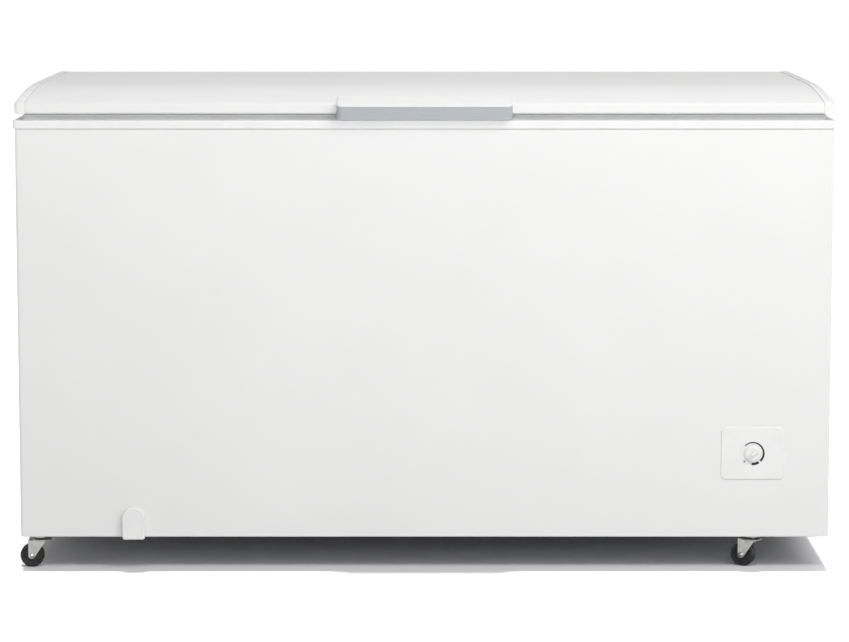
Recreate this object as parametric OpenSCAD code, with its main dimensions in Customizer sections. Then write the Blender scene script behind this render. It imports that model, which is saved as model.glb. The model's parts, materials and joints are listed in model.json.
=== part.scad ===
// Chest freezer on four swivel casters: foamed cabinet with a compressor bay at the right,
// one wide lid on two spring hinges at the back, a hanging wire basket and a front drain.
// The origin is on the floor, under the middle of the cabinet. +X is right, +Y is back, +Z is up.

/* [Cabinet] */
// Outside width of the cabinet
cabinet_w = 1560; // [1500:10:1620]
// Outside depth of the cabinet
cabinet_d = 690; // [680:5:700]
// Height of the top frame above the floor
frame_top = 874; // [860:2:890]
// Thickness of the insulated side walls
wall_t = 62; // [58:1:64]
// Thickness of the insulated floor
floor_t = 60; // [56:1:66]
// Thickness of the painted steel sheet
sheet = 0.8; // [0.6:0.1:0.9]

/* [Compressor bay] */
// Distance from the right side to the bay's insulated wall
bay_w = 310; // [300:5:330]
// Height of the bay's ceiling above the floor
bay_top = 330; // [310:5:340]
// Thickness of the insulation over the bay
bay_foam = 50; // [45:1:55]

/* [Lid] */
// Thickness of the lid at its flat top
lid_t = 43; // [40:1:50]
// Height of the compressed gasket
gasket_h = 12; // [10:0.5:14]
// Depth of the plug that dips into the cabinet
plug_h = 20; // [16:1:22]
// Run of the curved front before the lid is flat
crown_run = 250; // [230:10:270]
// Radius of the curved front
crown_r = 1500; // [1400:50:1700]

/* [Casters] */
// Radius of the wheels
wheel_r = 23; // [21:0.5:23.5]
// Width of the wheels
wheel_w = 18; // [16:1:20]
// Distance of the axle behind the swivel
trail = 18; // [16:1:22]

/* [Fittings] */
// Width of the handle
handle_w = 335; // [280:5:380]
// Distance that the handle stands out in front
handle_out = 28; // [24:1:34]
// Distance from the right side to the thermostat
dial_inset = 148; // [140:1:160]
// Distance from the left side to the drain
drain_inset = 219; // [200:1:300]
// Height of the drain cap
drain_cap_h = 63; // [58:1:70]

/* [Hidden] */
$fn = 48;
touch = 0.05;   // gap that stands for two faces in contact
run = 0.06;     // radial clearance of a running fit

// Cabinet
base_z = 68;
half_w = cabinet_w / 2;
half_d = cabinet_d / 2;
front_y = -half_d;
back_y = half_d;
panel_top = frame_top - 4;
corner_r = 6;                        // bend radius of the front corners
corner_return = 12;                  // how far the front sheet wraps round to the sides
coil_gap = 5.2;                      // space between the sheet and the foam for the condenser
foam_out = sheet + coil_gap;
liner_t = 1;
liner_half_w = half_w - wall_t;      // inside of the liner
liner_half_d = half_d - wall_t;
liner_floor = base_z + floor_t;
liner_r = 12;
bay_x = half_w - bay_w;
step_x = bay_x - bay_foam;
step_z = bay_top + bay_foam;
frame_lip = 4;                       // overhang of the top frame
frame_t = 3;
frame_h = 16;
frame_edge = 2.5;                    // how far the frame's inner lip stands inside the liner
frame_half_w = liner_half_w - frame_edge;
frame_half_d = liner_half_d - frame_edge;

// Lid
lid_z = frame_top + gasket_h;
lid_top = lid_z + lid_t;
crown_y = front_y + crown_run;
nose_r = 8;
cap_w = 20;
cap_t = 2.5;
skin_drop = 1.3;                     // the end caps stand this far above the sheet
panel_t = 1.5;
// The plug's sides come in this much for each millimetre down
plug_lean = 0.65;
plug_half_w = liner_half_w - 28;
plug_half_d = liner_half_d - 28;
gasket_w = 14;
gasket_inset = 11;
gasket_half_w = half_w - gasket_inset;
gasket_half_d = half_d - gasket_inset;

// Hinges
hinge_x = 560;
pin_y = back_y + 16;
pin_z = lid_z;
pin_r = 4;
ear_r = 11.2;
ear_x = 30;                          // middle of a base ear from the hinge's middle
leaf_x = 24;                         // middle of a leaf lug from the hinge's middle

// Handle
handle_r = 12;
handle_wall = 3.5;
cover_rise = 0.148;                  // slope of the handle's cover
cover_run = 52;                      // how far the cover lies on the lid
cover_front_z = lid_top - 24;
cover_t = 3.6;

// Dial and drain
dial = [half_w - dial_inset, 232];
bezel = [122, 102];
bezel_t = 3;
knob_r = 16;
spindle_r = 3;
drain_x = -half_w + drain_inset;
drain_y = -200;
drain_z = 95;
pipe_r = 9;
pipe_bore_r = 6.5;
cap_bottom = base_z - 3.5;

// Casters: swivel place and the direction of the trail, in degrees from -X
caster_places = [
    [-half_w + 34, front_y + 45, 0],
    [half_w - 142, front_y + 45, -27],
    [-half_w + 34, back_y - 45, 14],
    [half_w - 142, back_y - 45, -8]
];
plate_size = [60, 48];
plate_hole = [24, 18];
axle_r = 3;
leg_y = wheel_w / 2 + 3.2;           // middle of a fork leg
leg_t = 2.5;

// Basket
basket_x = [478, 708];
basket_half_d = liner_half_d - 11;
basket_z = [650, 850];
rim_r = 2.5;
wire_r = 1.5;
hanger_r = 2;

// Compressor
comp = [628, 130];
comp_r = 82;
tray_t = 2;
foot = [88, 62];

// ---------- Helpers ----------

function arc_points(c, r, a0, a1, n = 6) =
    [for (i = [0:n]) let (a = a0 + (a1 - a0) * i / n) c + r * [cos(a), sin(a)]];

function round_rect(w, h, r, n = 6) = concat(
    arc_points([w / 2 - r, h / 2 - r], r, 0, 90, n),
    arc_points([-w / 2 + r, h / 2 - r], r, 90, 180, n),
    arc_points([-w / 2 + r, -h / 2 + r], r, 180, 270, n),
    arc_points([w / 2 - r, -h / 2 + r], r, 270, 360, n)
);

// Box between two corners
module slab(low, high) {
    translate(low) cube(high - low);
}

// Section given in (y, z), extruded along X
module along_x(x0, x1) {
    translate([x0, 0, 0]) rotate([90, 0, 90]) linear_extrude(x1 - x0) children();
}

// Section given in (x, z), extruded along Y
module along_y(y0, y1) {
    translate([0, y1, 0]) rotate([90, 0, 0]) linear_extrude(y1 - y0) children();
}

// Cylinder from y0 to y1
module rod_y(r, y0, y1) {
    translate([0, y1, 0]) rotate([90, 0, 0]) cylinder(r = r, h = y1 - y0);
}

// Cylinder from x0 to x1
module rod_x(r, x0, x1) {
    translate([x0, 0, 0]) rotate([0, 90, 0]) cylinder(r = r, h = x1 - x0);
}

function unit(v) = v / norm(v);

// Tube along right-angled corners, each bent to radius bend
module tube_path(points, r, bend) {
    last = len(points) - 1;
    for (i = [0:last - 1]) {
        dir = unit(points[i + 1] - points[i]);
        start = points[i] + (i == 0 ? 0 : bend) * dir;
        stop = points[i + 1] - (i == last - 1 ? 0 : bend) * dir;
        if (norm(stop - start) > 0.01) rod_between(start, stop, r);
    }
    for (i = [1:last - 1]) {
        into = unit(points[i] - points[i - 1]);
        away = unit(points[i + 1] - points[i]);
        centre = points[i] + bend * (away - into);
        side = cross(-away, into);
        multmatrix([
            [-away[0], into[0], side[0], centre[0]],
            [-away[1], into[1], side[1], centre[1]],
            [-away[2], into[2], side[2], centre[2]],
            [0, 0, 0, 1]
        ])
        rotate_extrude(angle = 90) translate([bend, 0]) circle(r, $fn = 24);
    }
}

// Cylinder between two points that share two coordinates
module rod_between(a, b, r) {
    d = b - a;
    translate(a)
    rotate(abs(d[0]) > 0.001 ? [0, 90 * sign(d[0]), 0] :
           abs(d[1]) > 0.001 ? [-90 * sign(d[1]), 0, 0] : [d[2] > 0 ? 0 : 180, 0, 0])
    cylinder(r = r, h = norm(d), $fn = 24);
}

// Screw with its head's seat at the origin and its shank along -Z
module screw(shank) {
    cylinder(r = 4.5, h = 2.6, $fn = 6);
    cylinder(r = 5.4, h = 0.8);
    translate([0, 0, -shank]) cylinder(r = 2.4, h = shank + 0.4);
}

module screw_at_back(p, shank) {
    translate(p) rotate([-90, 0, 0]) screw(shank);
}

// ---------- Cabinet skin ----------

front_outline = concat(
    [[-half_w, corner_return]],
    arc_points([-half_w + corner_r, corner_r], corner_r, 180, 270),
    arc_points([half_w - corner_r, corner_r], corner_r, 270, 360),
    [[half_w, corner_return]]
);

front_inner = concat(
    [[half_w - sheet, corner_return + 1]],
    arc_points([half_w - corner_r, corner_r], corner_r - sheet, 360, 270),
    arc_points([-half_w + corner_r, corner_r], corner_r - sheet, 270, 180),
    [[-half_w + sheet, corner_return + 1]]
);

module front_panel() {
    color("white")
    difference() {
        translate([0, front_y, base_z]) linear_extrude(panel_top - base_z) difference() {
            polygon(front_outline);
            polygon(front_inner);
        }
        translate([drain_x, 0, drain_z]) rod_y(pipe_r + 0.3, front_y - 1, front_y + 2);
        slab([dial[0] - 45, front_y - 1, dial[1] - 35], [dial[0] + 45, front_y + 2, dial[1] + 35]);
    }
}

module side_panel(side) {
    color("white")
    mirror([side < 0 ? 1 : 0, 0, 0])
    slab([half_w - sheet, front_y + corner_return + touch, base_z], [half_w, back_y, panel_top]);
}

cord = [bay_x + 40, base_z + 16];
grille_x = [bay_x + 28, half_w - 32];
grille_z = [base_z + 30, bay_top - 20];

module back_panel() {
    color("silver")
    difference() {
        slab([-half_w + sheet + touch, back_y - sheet, base_z],
             [half_w - sheet - touch, back_y, panel_top]);
        slab([grille_x[0] + 8, back_y - 2, grille_z[0] + 8],
             [grille_x[1] - 8, back_y + 1, grille_z[1] - 8]);
        translate([cord[0], 0, cord[1]]) rod_y(8, back_y - 2, back_y + 1);
        for (p = back_screws) translate([p[0], 0, p[1]]) rod_y(2.4, back_y - 2, back_y + 1);
    }
}

pan_wall = 12;

module base_pan() {
    color("silver")
    difference() {
        slab([-half_w + sheet + touch, front_y + sheet + touch, base_z],
             [bay_x, back_y - sheet - touch, base_z + pan_wall]);
        slab([-half_w + 2 * sheet, front_y + 2 * sheet, base_z + 1],
             [bay_x + 1, back_y - 2 * sheet, base_z + pan_wall + 1]);
        for (c = [0, 2]) caster_screw_holes(c);
        corner_cut(-half_w);
    }
}

// Room for the front sheet's rounded corner
module corner_cut(x) {
    translate([x, front_y, base_z]) rotate([0, 0, 45]) cube([8, 8, 4 * pan_wall], center = true);
}

module caster_screw_holes(c) {
    place = caster_places[c];
    for (sx = [-1, 1], sy = [-1, 1])
        translate([place[0] + sx * plate_hole[0], place[1] + sy * plate_hole[1], base_z - 3])
        cylinder(r = 2.4, h = 12);
}

// ---------- Insulation and liner ----------

// The storage space, grown by o on every side but the top: a wide upper part and a deep left part
module cavity(o, top) {
    deep_w = liner_half_w + step_x;
    translate([0, 0, step_z - o])
    linear_extrude(top - step_z + o)
    polygon(round_rect(2 * (liner_half_w + o), 2 * (liner_half_d + o), liner_r + o));
    translate([(step_x - liner_half_w) / 2, 0, liner_floor - o])
    linear_extrude(step_z - liner_floor + 1)
    polygon(round_rect(deep_w + 2 * o, 2 * (liner_half_d + o), liner_r + o));
}

foam_side = 2 * sheet + touch;
foam_low = base_z + 1 + touch;
foam_high = frame_top - frame_t - liner_t - 2 * touch;
coil_r = 4;
channel = 2 * coil_r + 1;            // depth of the evaporator's channel in the foam
channel_y = liner_half_d + liner_t + channel;
channel_top = [step_z + 12, frame_top - 60];
channel_low = [liner_floor + 20, bay_top - 5];
coil_x = 330;                        // where the laps turn back, on the rear wall

module foam_insulation() {
    color("khaki")
    difference() {
        slab([-half_w + foam_side, front_y + foam_out, foam_low],
             [half_w - foam_side, back_y - foam_side, foam_high]);
        cavity(liner_t + touch, foam_high + 1);
        slab([bay_x, front_y, base_z], [half_w, back_y, bay_top]);
        // channels for the evaporator
        evaporator_channel(liner_half_w, channel_top);
        evaporator_channel(step_x, channel_low);
        slab([coil_x - 38, liner_half_d, channel_low[1] - 1], [coil_x + 8, channel_y, channel_top[0] + 1]);
        slab([coil_x - 8, liner_half_d, link_z - 7], [link_x + 8, channel_y, link_z + 7]);
        slab([link_x - 8, liner_half_d, bay_top - 1], [link_x + 8, channel_y, link_z + 7]);
        // drain pipe and the caster screws
        tube_path(drain_route(1), pipe_r + touch, 14);
        for (c = [0, 2])
            translate([caster_places[c][0], caster_places[c][1], base_z + 4])
            cube([plate_size[0], plate_size[1], 8], center = true);
    }
}

module evaporator_channel(right, z) {
    slab(
        [-liner_half_w - liner_t - channel, -liner_half_d - liner_t - channel, z[0]],
        [right + liner_t + channel, liner_half_d + liner_t + channel, z[1]]
    );
}

module inner_liner() {
    color("white")
    difference() {
        union() {
            cavity(liner_t, frame_top - frame_t - touch);
            translate([0, 0, frame_top - frame_t - liner_t - touch]) linear_extrude(liner_t)
                polygon(round_rect(2 * liner_half_w + 40, 2 * liner_half_d + 40, liner_r));
        }
        cavity(0, frame_top);
        translate([drain_x, drain_y, liner_floor - 2]) cylinder(r = pipe_r + 0.1, h = 4);
    }
}

module top_frame() {
    outer_w = cabinet_w + 2 * frame_lip;
    outer_d = cabinet_d + 2 * frame_lip;
    color("white")
    difference() {
        translate([0, 0, frame_top - frame_h]) linear_extrude(frame_h)
            polygon(round_rect(outer_w, outer_d, 8));
        // hollow underside, closed by the inner and outer lips
        translate([0, 0, frame_top - frame_h - 1]) linear_extrude(frame_h - frame_t + 1) difference() {
            polygon(round_rect(cabinet_w + 0.4, cabinet_d + 0.4, 0.4));
            polygon(round_rect(2 * liner_half_w - 0.2, 2 * liner_half_d - 0.2, liner_r));
        }
        translate([0, 0, frame_top - frame_h - 2]) linear_extrude(frame_h + 4)
            polygon(round_rect(2 * frame_half_w, 2 * frame_half_d, liner_r - frame_edge));
    }
}

// ---------- Refrigeration ----------

coil_y = liner_half_d + liner_t + coil_r + touch;
coil_left = -liner_half_w - liner_t - coil_r - touch;
coil_pitch = 70;
link_x = bay_x + 50;
link_z = step_z - 12;

function lap(right, z, back) =
    let (p = [
        [coil_x - 30, coil_y, z], [coil_left, coil_y, z], [coil_left, -coil_y, z],
        [right, -coil_y, z], [right, coil_y, z], [coil_x + 30, coil_y, z]
    ]) back ? [for (i = [5:-1:0]) p[i]] : p;

low_laps = 3;
high_laps = 5;
coil_right = liner_half_w + liner_t + coil_r + touch;
coil_right_low = step_x + liner_t + coil_r + touch;
evaporator_route = concat(
    [for (k = [0:low_laps - 1])
        each lap(coil_right_low, channel_low[0] + 15 + k * coil_pitch, k % 2 == 0)],
    [for (k = [0:high_laps - 1])
        each lap(coil_right, channel_top[0] + 20 + k * coil_pitch, k % 2 == 1)],
    [
        [coil_x + 30, coil_y, channel_top[0] + 60 + (high_laps - 1) * coil_pitch],
        [coil_x, coil_y, channel_top[0] + 60 + (high_laps - 1) * coil_pitch],
        [coil_x, coil_y, link_z],
        [link_x, coil_y, link_z],
        [link_x, coil_y, bay_top + 4]
    ]
);

module evaporator_coil() {
    color("silver") tube_path(evaporator_route, coil_r, 15);
}

condenser_r = 2.4;
condenser_y = front_y + sheet + coil_gap / 2;
condenser_pitch = 84;
condenser_rows = 8;
condenser_route = concat(
    [[bay_x + 60, condenser_y, base_z + 84]],
    [for (k = [0:condenser_rows - 1]) let (z = base_z + 84 + k * condenser_pitch)
        each (k % 2 == 0 ? [[bay_x - 40, condenser_y, z], [-half_w + 50, condenser_y, z]]
                         : [[-half_w + 50, condenser_y, z], [bay_x - 40, condenser_y, z]])],
    [
        [bay_x + 20, condenser_y, base_z + 84 + (condenser_rows - 1) * condenser_pitch],
        [bay_x + 20, condenser_y, base_z + 140]
    ]
);

function is_bend(a, b, c) = norm(cross(b - a, c - b)) > 1;

// A point in line with its neighbours is left out
condenser_corners = [for (i = [0:len(condenser_route) - 1])
    if (i == 0 || i == len(condenser_route) - 1
        || is_bend(condenser_route[i - 1], condenser_route[i], condenser_route[i + 1]))
    condenser_route[i]];

module condenser_coil() {
    color("dimgray") tube_path(condenser_corners, condenser_r, 12);
}

module compressor_tray() {
    color("silver")
    difference() {
        slab([bay_x + touch, front_y + sheet + touch, base_z],
             [half_w - sheet - touch, back_y - sheet - touch, base_z + tray_t]);
        for (c = [1, 3]) caster_screw_holes(c);
        for (p = feet_places()) translate([p[0], p[1], base_z - 1]) cylinder(r = 4 + touch, h = 5);
        corner_cut(half_w);
    }
}

function feet_places() =
    [for (sx = [-1, 1], sy = [-1, 1]) [comp[0] + sx * foot[0], comp[1] + sy * foot[1]]];

foot_z = base_z + tray_t + 18;

module compressor() {
    shell = concat(
        [[0, 0]],
        arc_points([comp_r - 34, 34], 34, 270, 360, 5),
        arc_points([comp_r - 62, 96], 62, 0, 78, 6),
        [[0, 96 + 64]]
    );
    color("black")
    difference() {
        union() {
            translate([comp[0], comp[1], foot_z + 6]) rotate_extrude($fn = 72) polygon(shell);
            // weld seam
            translate([comp[0], comp[1], foot_z + 76]) cylinder(r = comp_r + 3, h = 5, $fn = 72);
            // foot rails
            for (sy = [-1, 1])
                slab([comp[0] - foot[0] - 14, comp[1] + sy * foot[1] - 14, foot_z],
                     [comp[0] + foot[0] + 14, comp[1] + sy * foot[1] + 14, foot_z + 3]);
            slab([comp[0] - 40, comp[1] - foot[1], foot_z], [comp[0] + 40, comp[1] + foot[1], foot_z + 8]);
            // pipe stubs
            for (s = [suction_port, discharge_port, process_port])
                translate([s[0], comp[1], s[1]]) rod_y(6, -comp_r - 12, -comp_r + 12);
        }
        for (p = feet_places()) translate([p[0], p[1], foot_z - 1]) cylinder(r = 8, h = 5);
        // the motor's space
        translate([comp[0], comp[1], foot_z + 14]) cylinder(r = comp_r - 22, h = 120);
    }
}

suction_port = [comp[0] - 34, foot_z + 110];
discharge_port = [comp[0] + 34, foot_z + 42];
process_port = [comp[0] + 30, foot_z + 104];

module compressor_grommets() {
    color("dimgray")
    for (p = feet_places()) translate([p[0], p[1], base_z + tray_t])
    difference() {
        union() {
            cylinder(r = 13, h = 18 - touch);
            cylinder(r = 8 - touch, h = 23);
            translate([0, 0, 21 + touch]) cylinder(r = 11, h = 4);
        }
        translate([0, 0, -1]) cylinder(r = 4 + touch, h = 30);
    }
}

module compressor_bolts() {
    color("silver")
    for (p = feet_places()) translate([p[0], p[1], base_z - 3]) {
        cylinder(r = 8, h = 3);
        cylinder(r = 4, h = 38);
        translate([0, 0, 30.1 + touch]) cylinder(r = 9, h = 1.5);
        translate([0, 0, 31.5]) cylinder(r = 7, h = 5, $fn = 6);
    }
}

module terminal_cover() {
    color("black")
    translate([comp[0] - comp_r - touch, comp[1] - 26, foot_z + 28])
    difference() {
        translate([-34, 0, 0]) cube([34, 52, 44]);
        translate([-2, -1, 6]) cube([3, 54, 32]);
    }
}

drier = [bay_x + 40, -150];

module filter_drier() {
    color("peru")
    translate([drier[0], drier[1], base_z + 150]) {
        cylinder(r = 9, h = 80);
        translate([0, 0, 80]) cylinder(r1 = 9, r2 = 3, h = 12);
        translate([0, 0, -12]) cylinder(r1 = 3, r2 = 9, h = 12);
    }
}

module discharge_tube() {
    y = comp[1] - comp_r - 12;
    color("peru")
    tube_path([
        [discharge_port[0], y - touch, discharge_port[1]],
        [discharge_port[0], y - 60, discharge_port[1]],
        [discharge_port[0], y - 60, base_z + 190],
        [drier[0], y - 60, base_z + 190],
        [drier[0], y - 60, base_z + 124],
        [drier[0], drier[1], base_z + 124],
        [drier[0], drier[1], base_z + 138 - touch]
    ], 2.6, 6);
}

module suction_tube() {
    y = comp[1] - comp_r - 12;
    color("peru")
    tube_path([
        [suction_port[0], y - touch, suction_port[1]],
        [suction_port[0], y - 34, suction_port[1]],
        [suction_port[0], y - 34, bay_top - 14],
        [link_x, y - 34, bay_top - 14],
        [link_x, coil_y, bay_top - 14],
        [link_x, coil_y, bay_top + 4 - touch]
    ], coil_r, 9);
}

module capillary_tube() {
    top = base_z + 150 + 92;
    color("peru")
    tube_path([
        [drier[0], drier[1], top + touch],
        [drier[0], drier[1], top + 12],
        [drier[0], drier[1] + 60, top + 12],
        [bay_x + touch, drier[1] + 60, top + 12]
    ], 1.2, 5);
}

module bay_grille() {
    slots = 11;
    pitch = (grille_z[1] - grille_z[0] - 40) / slots;
    color("white")
    difference() {
        union() {
            slab([grille_x[0], back_y + touch, grille_z[0]], [grille_x[1], back_y + 3, grille_z[1]]);
            slab([grille_x[0] + 9, back_y - 6, grille_z[0] + 9],
                 [grille_x[1] - 9, back_y + 1, grille_z[1] - 9]);
        }
        slab([grille_x[0] + 12, back_y - 7, grille_z[0] + 12],
             [grille_x[1] - 12, back_y, grille_z[1] - 12]);
        for (i = [0:slots - 1], half = [0, 1])
            slab([grille_x[0] + 20 + half * 110, back_y - 1, grille_z[0] + 22 + i * pitch],
                 [grille_x[0] + 120 + half * 110, back_y + 4, grille_z[0] + 22 + i * pitch + 8]);
        for (p = grille_screws) translate([p[0], 0, p[1]]) rod_y(2.5, back_y - 1, back_y + 4);
    }
}

grille_screws =
    [for (x = [grille_x[0] + 4, grille_x[1] - 4], z = [grille_z[0] + 5, grille_z[1] - 5]) [x, z]];
base_screw_dx = [-20, 20];
base_screw_z = [frame_top - 110, frame_top - 60];
base_screws = [for (side = [-1, 1], dx = base_screw_dx, z = base_screw_z) [side * hinge_x + dx, z]];
back_screws = concat(grille_screws, base_screws);

module cord_bushing() {
    color("black")
    translate([cord[0], 0, cord[1]])
    difference() {
        union() {
            rod_y(8 - touch, back_y - sheet - 3, back_y + 3);
            rod_y(11, back_y + touch, back_y + 4);
            rod_y(10, back_y - sheet - 3, back_y - sheet - touch);
        }
        rod_y(4, back_y - 5, back_y + 5);
    }
}

// ---------- Dial ----------

module control_panel() {
    color("white")
    translate([dial[0], 0, dial[1]])
    difference() {
        union() {
            along_y(front_y - bezel_t, front_y - touch) polygon(round_rect(bezel[0], bezel[1], 10));
            along_y(front_y - 1, front_y + 8) polygon(round_rect(88, 68, 4));
        }
        along_y(front_y + 1, front_y + 9) polygon(round_rect(82, 62, 3));
        rod_y(spindle_r + 1, front_y - 5, front_y + 9);
    }
}

module thermostat_body() {
    color("gray")
    translate([dial[0], 0, dial[1]])
    difference() {
        union() {
            rod_y(8, front_y + 1 + touch, front_y + 10);
            slab([-26, front_y + 10, -17], [26, front_y + 42, 17]);
            for (x = [-18, 0, 18]) slab([x - 3, front_y + 42, 4], [x + 3, front_y + 50, 4.8]);
        }
        rod_y(spindle_r + run, front_y - 1, front_y + 34);
    }
}

module thermostat_spindle() {
    color("silver")
    translate([dial[0], 0, dial[1]]) rod_y(spindle_r, front_y - bezel_t - 8, front_y + 30);
}

module thermostat_knob() {
    color("white")
    translate([dial[0], 0, dial[1]])
    difference() {
        union() {
            rod_y(knob_r, front_y - bezel_t - 6, front_y - bezel_t - 0.4);
            rod_y(knob_r - 2.5, front_y - bezel_t - 9, front_y - bezel_t - 6);
            // grip bar, which points at the off mark
            rotate([0, -45, 0])
                slab([-knob_r + 3, front_y - bezel_t - 14, -3], [knob_r - 3, front_y - bezel_t - 8, 3]);
        }
        rod_y(spindle_r, front_y - bezel_t - 8, front_y);
    }
}

// ---------- Drain ----------

function drain_route(more) = [
    [drain_x, drain_y, liner_floor + more],
    [drain_x, drain_y, drain_z],
    [drain_x, front_y - 8 - more, drain_z]
];

module drain_pipe() {
    color("gray")
    difference() {
        tube_path(drain_route(0), pipe_r, 14);
        tube_path(drain_route(2), pipe_bore_r, 14);
    }
}

module drain_cap() {
    w = 44.5;
    depth = 14;
    wall = 2;
    top = cap_bottom + drain_cap_h;
    outline = concat(
        [[-w / 2 + 4, cap_bottom]], [[w / 2 - 4, cap_bottom], [w / 2, cap_bottom + 4]],
        arc_points([0, top - w / 2], w / 2, 0, 180, 16), [[-w / 2, cap_bottom + 4]]
    );
    inside = concat(
        [[w / 2 - wall, cap_bottom + wall + 3]],
        arc_points([0, top - w / 2], w / 2 - wall, 0, 180, 16), [[-w / 2 + wall, cap_bottom + wall + 3]]
    );
    color("white")
    translate([drain_x, 0, 0])
    difference() {
        along_y(front_y - depth, front_y - touch) polygon(outline);
        along_y(front_y - depth + wall, front_y) polygon(inside);
        // outlet at the bottom
        slab([-9, front_y - depth + wall, cap_bottom - 1], [9, front_y - 3, cap_bottom + 8]);
    }
}

module drain_plug() {
    color("dimgray")
    translate([drain_x, drain_y, liner_floor + touch]) {
        cylinder(r = 15, h = 4);
        translate([0, 0, -12]) cylinder(r = pipe_bore_r - 0.2, h = 13);
        translate([0, 2, 3]) rotate([90, 0, 0]) difference() {
            union() {
                translate([0, 8, 0]) cylinder(r = 8, h = 4);
                translate([-8, 0, 0]) cube([16, 8, 4]);
            }
            translate([0, 8, -1]) cylinder(r = 4.5, h = 6);
        }
    }
}

// ---------- Basket ----------

module ring_of_rods(z, r) {
    for (x = basket_x) translate([x, 0, z]) rod_y(r, -basket_half_d - r, basket_half_d + r);
    for (y = [-1, 1] * basket_half_d) translate([0, y, z]) rod_x(r, basket_x[0] + r, basket_x[1] - r);
}

module basket() {
    n_long = 13;
    n_short = 5;
    span_x = basket_x[1] - basket_x[0];
    inner = rim_r + wire_r;
    tall = basket_z[1] - basket_z[0] + 2 * rim_r;
    low = basket_z[0] - rim_r;
    color("gainsboro") {
        ring_of_rods(basket_z[1], rim_r);
        ring_of_rods((basket_z[0] + basket_z[1]) / 2, rim_r);
        ring_of_rods(basket_z[0], rim_r);
        for (i = [1:n_long]) {
            y = -basket_half_d + i * 2 * basket_half_d / (n_long + 1);
            for (x = [basket_x[0] + inner, basket_x[1] - inner])
                translate([x, y, low]) cylinder(r = wire_r, h = tall);
            translate([0, y, basket_z[0]])
                rod_x(wire_r, basket_x[0] + inner + wire_r, basket_x[1] - inner - wire_r);
        }
        for (i = [1:n_short]) {
            x = basket_x[0] + i * span_x / (n_short + 1);
            for (y = [-1, 1] * (basket_half_d - inner))
                translate([x, y, low]) cylinder(r = wire_r, h = tall);
            translate([x, 0, basket_z[0] + 2 * wire_r])
                rod_y(wire_r, -basket_half_d + inner + wire_r, basket_half_d - inner - wire_r);
        }
        for (side = [-1, 1]) basket_hanger(side);
    }
}

// Welded wires that rest on the top frame and hold the basket up
module basket_hanger(side) {
    y_wire = side * (basket_half_d + rim_r + hanger_r);
    y_rest = side * (frame_half_d + 8);
    z_rest = frame_top + touch + hanger_r;
    z_arm = z_rest + 2 * hanger_r;
    low = basket_z[1] - rim_r;
    for (x = [basket_x[0] + 60, basket_x[1] - 60]) {
        translate([x, y_wire, low]) cylinder(r = hanger_r, h = z_arm + hanger_r - low);
        translate([x + 2 * hanger_r, 0, z_arm])
            rod_y(hanger_r, min(y_wire, y_rest) - hanger_r, max(y_wire, y_rest) + hanger_r);
    }
    translate([0, y_rest, z_rest]) rod_x(hanger_r, basket_x[0] + 54, basket_x[1] - 50);
}

// ---------- Lid ----------

// The lid's section, lowered by drop and set in by inset at the front and back
module lid_section(drop, inset, bottom) {
    top = lid_top - drop;
    y0 = front_y + inset;
    lean = asin((crown_run - inset) / crown_r);
    nose = nose_r - min(inset, nose_r - 2);
    nose_end = nose * (1 - sin(lean));
    nose_z = top - pow(crown_run - inset - nose_end, 2) / (2 * crown_r) - nose * cos(lean);
    intersection() {
        polygon(concat(
            [[back_y - inset, bottom], [y0, bottom]],
            arc_points([y0 + nose, nose_z], nose, 180, 90 + lean),
            [[y0 + nose_end, top + 5], [crown_y, top + 5], [crown_y, top], [back_y - inset, top]]
        ));
        union() {
            translate([crown_y, top - crown_r]) circle(crown_r, $fn = 1440);
            translate([crown_y, bottom - 5]) square([cabinet_d, top + 5 - bottom]);
        }
    }
}

module lid_skin() {
    color("white")
    difference() {
        along_x(-half_w + cap_w + touch, half_w - cap_w - touch) difference() {
            lid_section(skin_drop, 0, lid_z + panel_t + touch);
            lid_section(skin_drop + sheet, sheet, lid_z - 5);
        }
        for (p = leaf_screws) translate([p[0], 0, p[1]]) rod_y(2.4, back_y - 2, back_y + 1);
    }
}

module lid_end_cap() {
    color("white")
    difference() {
        along_x(half_w - cap_w, half_w) lid_section(0, 0, lid_z);
        along_x(half_w - cap_w - 1, half_w - cap_t) lid_section(cap_t, cap_t, lid_z + cap_t);
    }
}

module lid_foam() {
    color("khaki")
    along_x(-half_w + cap_w + touch, half_w - cap_w - touch)
        lid_section(skin_drop + sheet + touch, sheet + touch, lid_z + panel_t + touch);
}

module lid_plug_foam() {
    color("khaki") plug(panel_t + touch, lid_z + panel_t);
}

// The plug under the lid, with sloping sides, shrunk by o
module plug(o, top) {
    low = lid_z - plug_h + o;
    in_top = o + plug_lean * (lid_z + panel_t - top);
    in_low = o + plug_lean * (lid_z + panel_t - low);
    intersection() {
        along_x(-half_w, half_w) polygon([
            [-plug_half_d + in_top, top], [-plug_half_d + in_low, low],
            [plug_half_d - in_low, low], [plug_half_d - in_top, top]
        ]);
        along_y(-half_d, half_d) polygon([
            [-plug_half_w + in_top, top], [-plug_half_w + in_low, low],
            [plug_half_w - in_low, low], [plug_half_w - in_top, top]
        ]);
    }
}

module lid_inner_panel() {
    color("white")
    difference() {
        union() {
            slab([-half_w + cap_w + touch, front_y + 2, lid_z],
                 [half_w - cap_w - touch, back_y - 2, lid_z + panel_t]);
            plug(0, lid_z + panel_t);
        }
        plug(panel_t, lid_z + panel_t + 1);
    }
}

module ring(half_w_out, half_d_out, w, z0, z1) {
    difference() {
        slab([-half_w_out, -half_d_out, z0], [half_w_out, half_d_out, z1]);
        slab([-half_w_out + w, -half_d_out + w, z0 - 1], [half_w_out - w, half_d_out - w, z1 + 1]);
    }
}

magnet = [6, 3];
magnet_z = frame_top + 1.5;

module lid_gasket() {
    color("darkgray")
    difference() {
        ring(gasket_half_w, gasket_half_d, gasket_w, frame_top + touch, lid_z - touch);
        gasket_magnets_solid(touch);
    }
}

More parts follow.
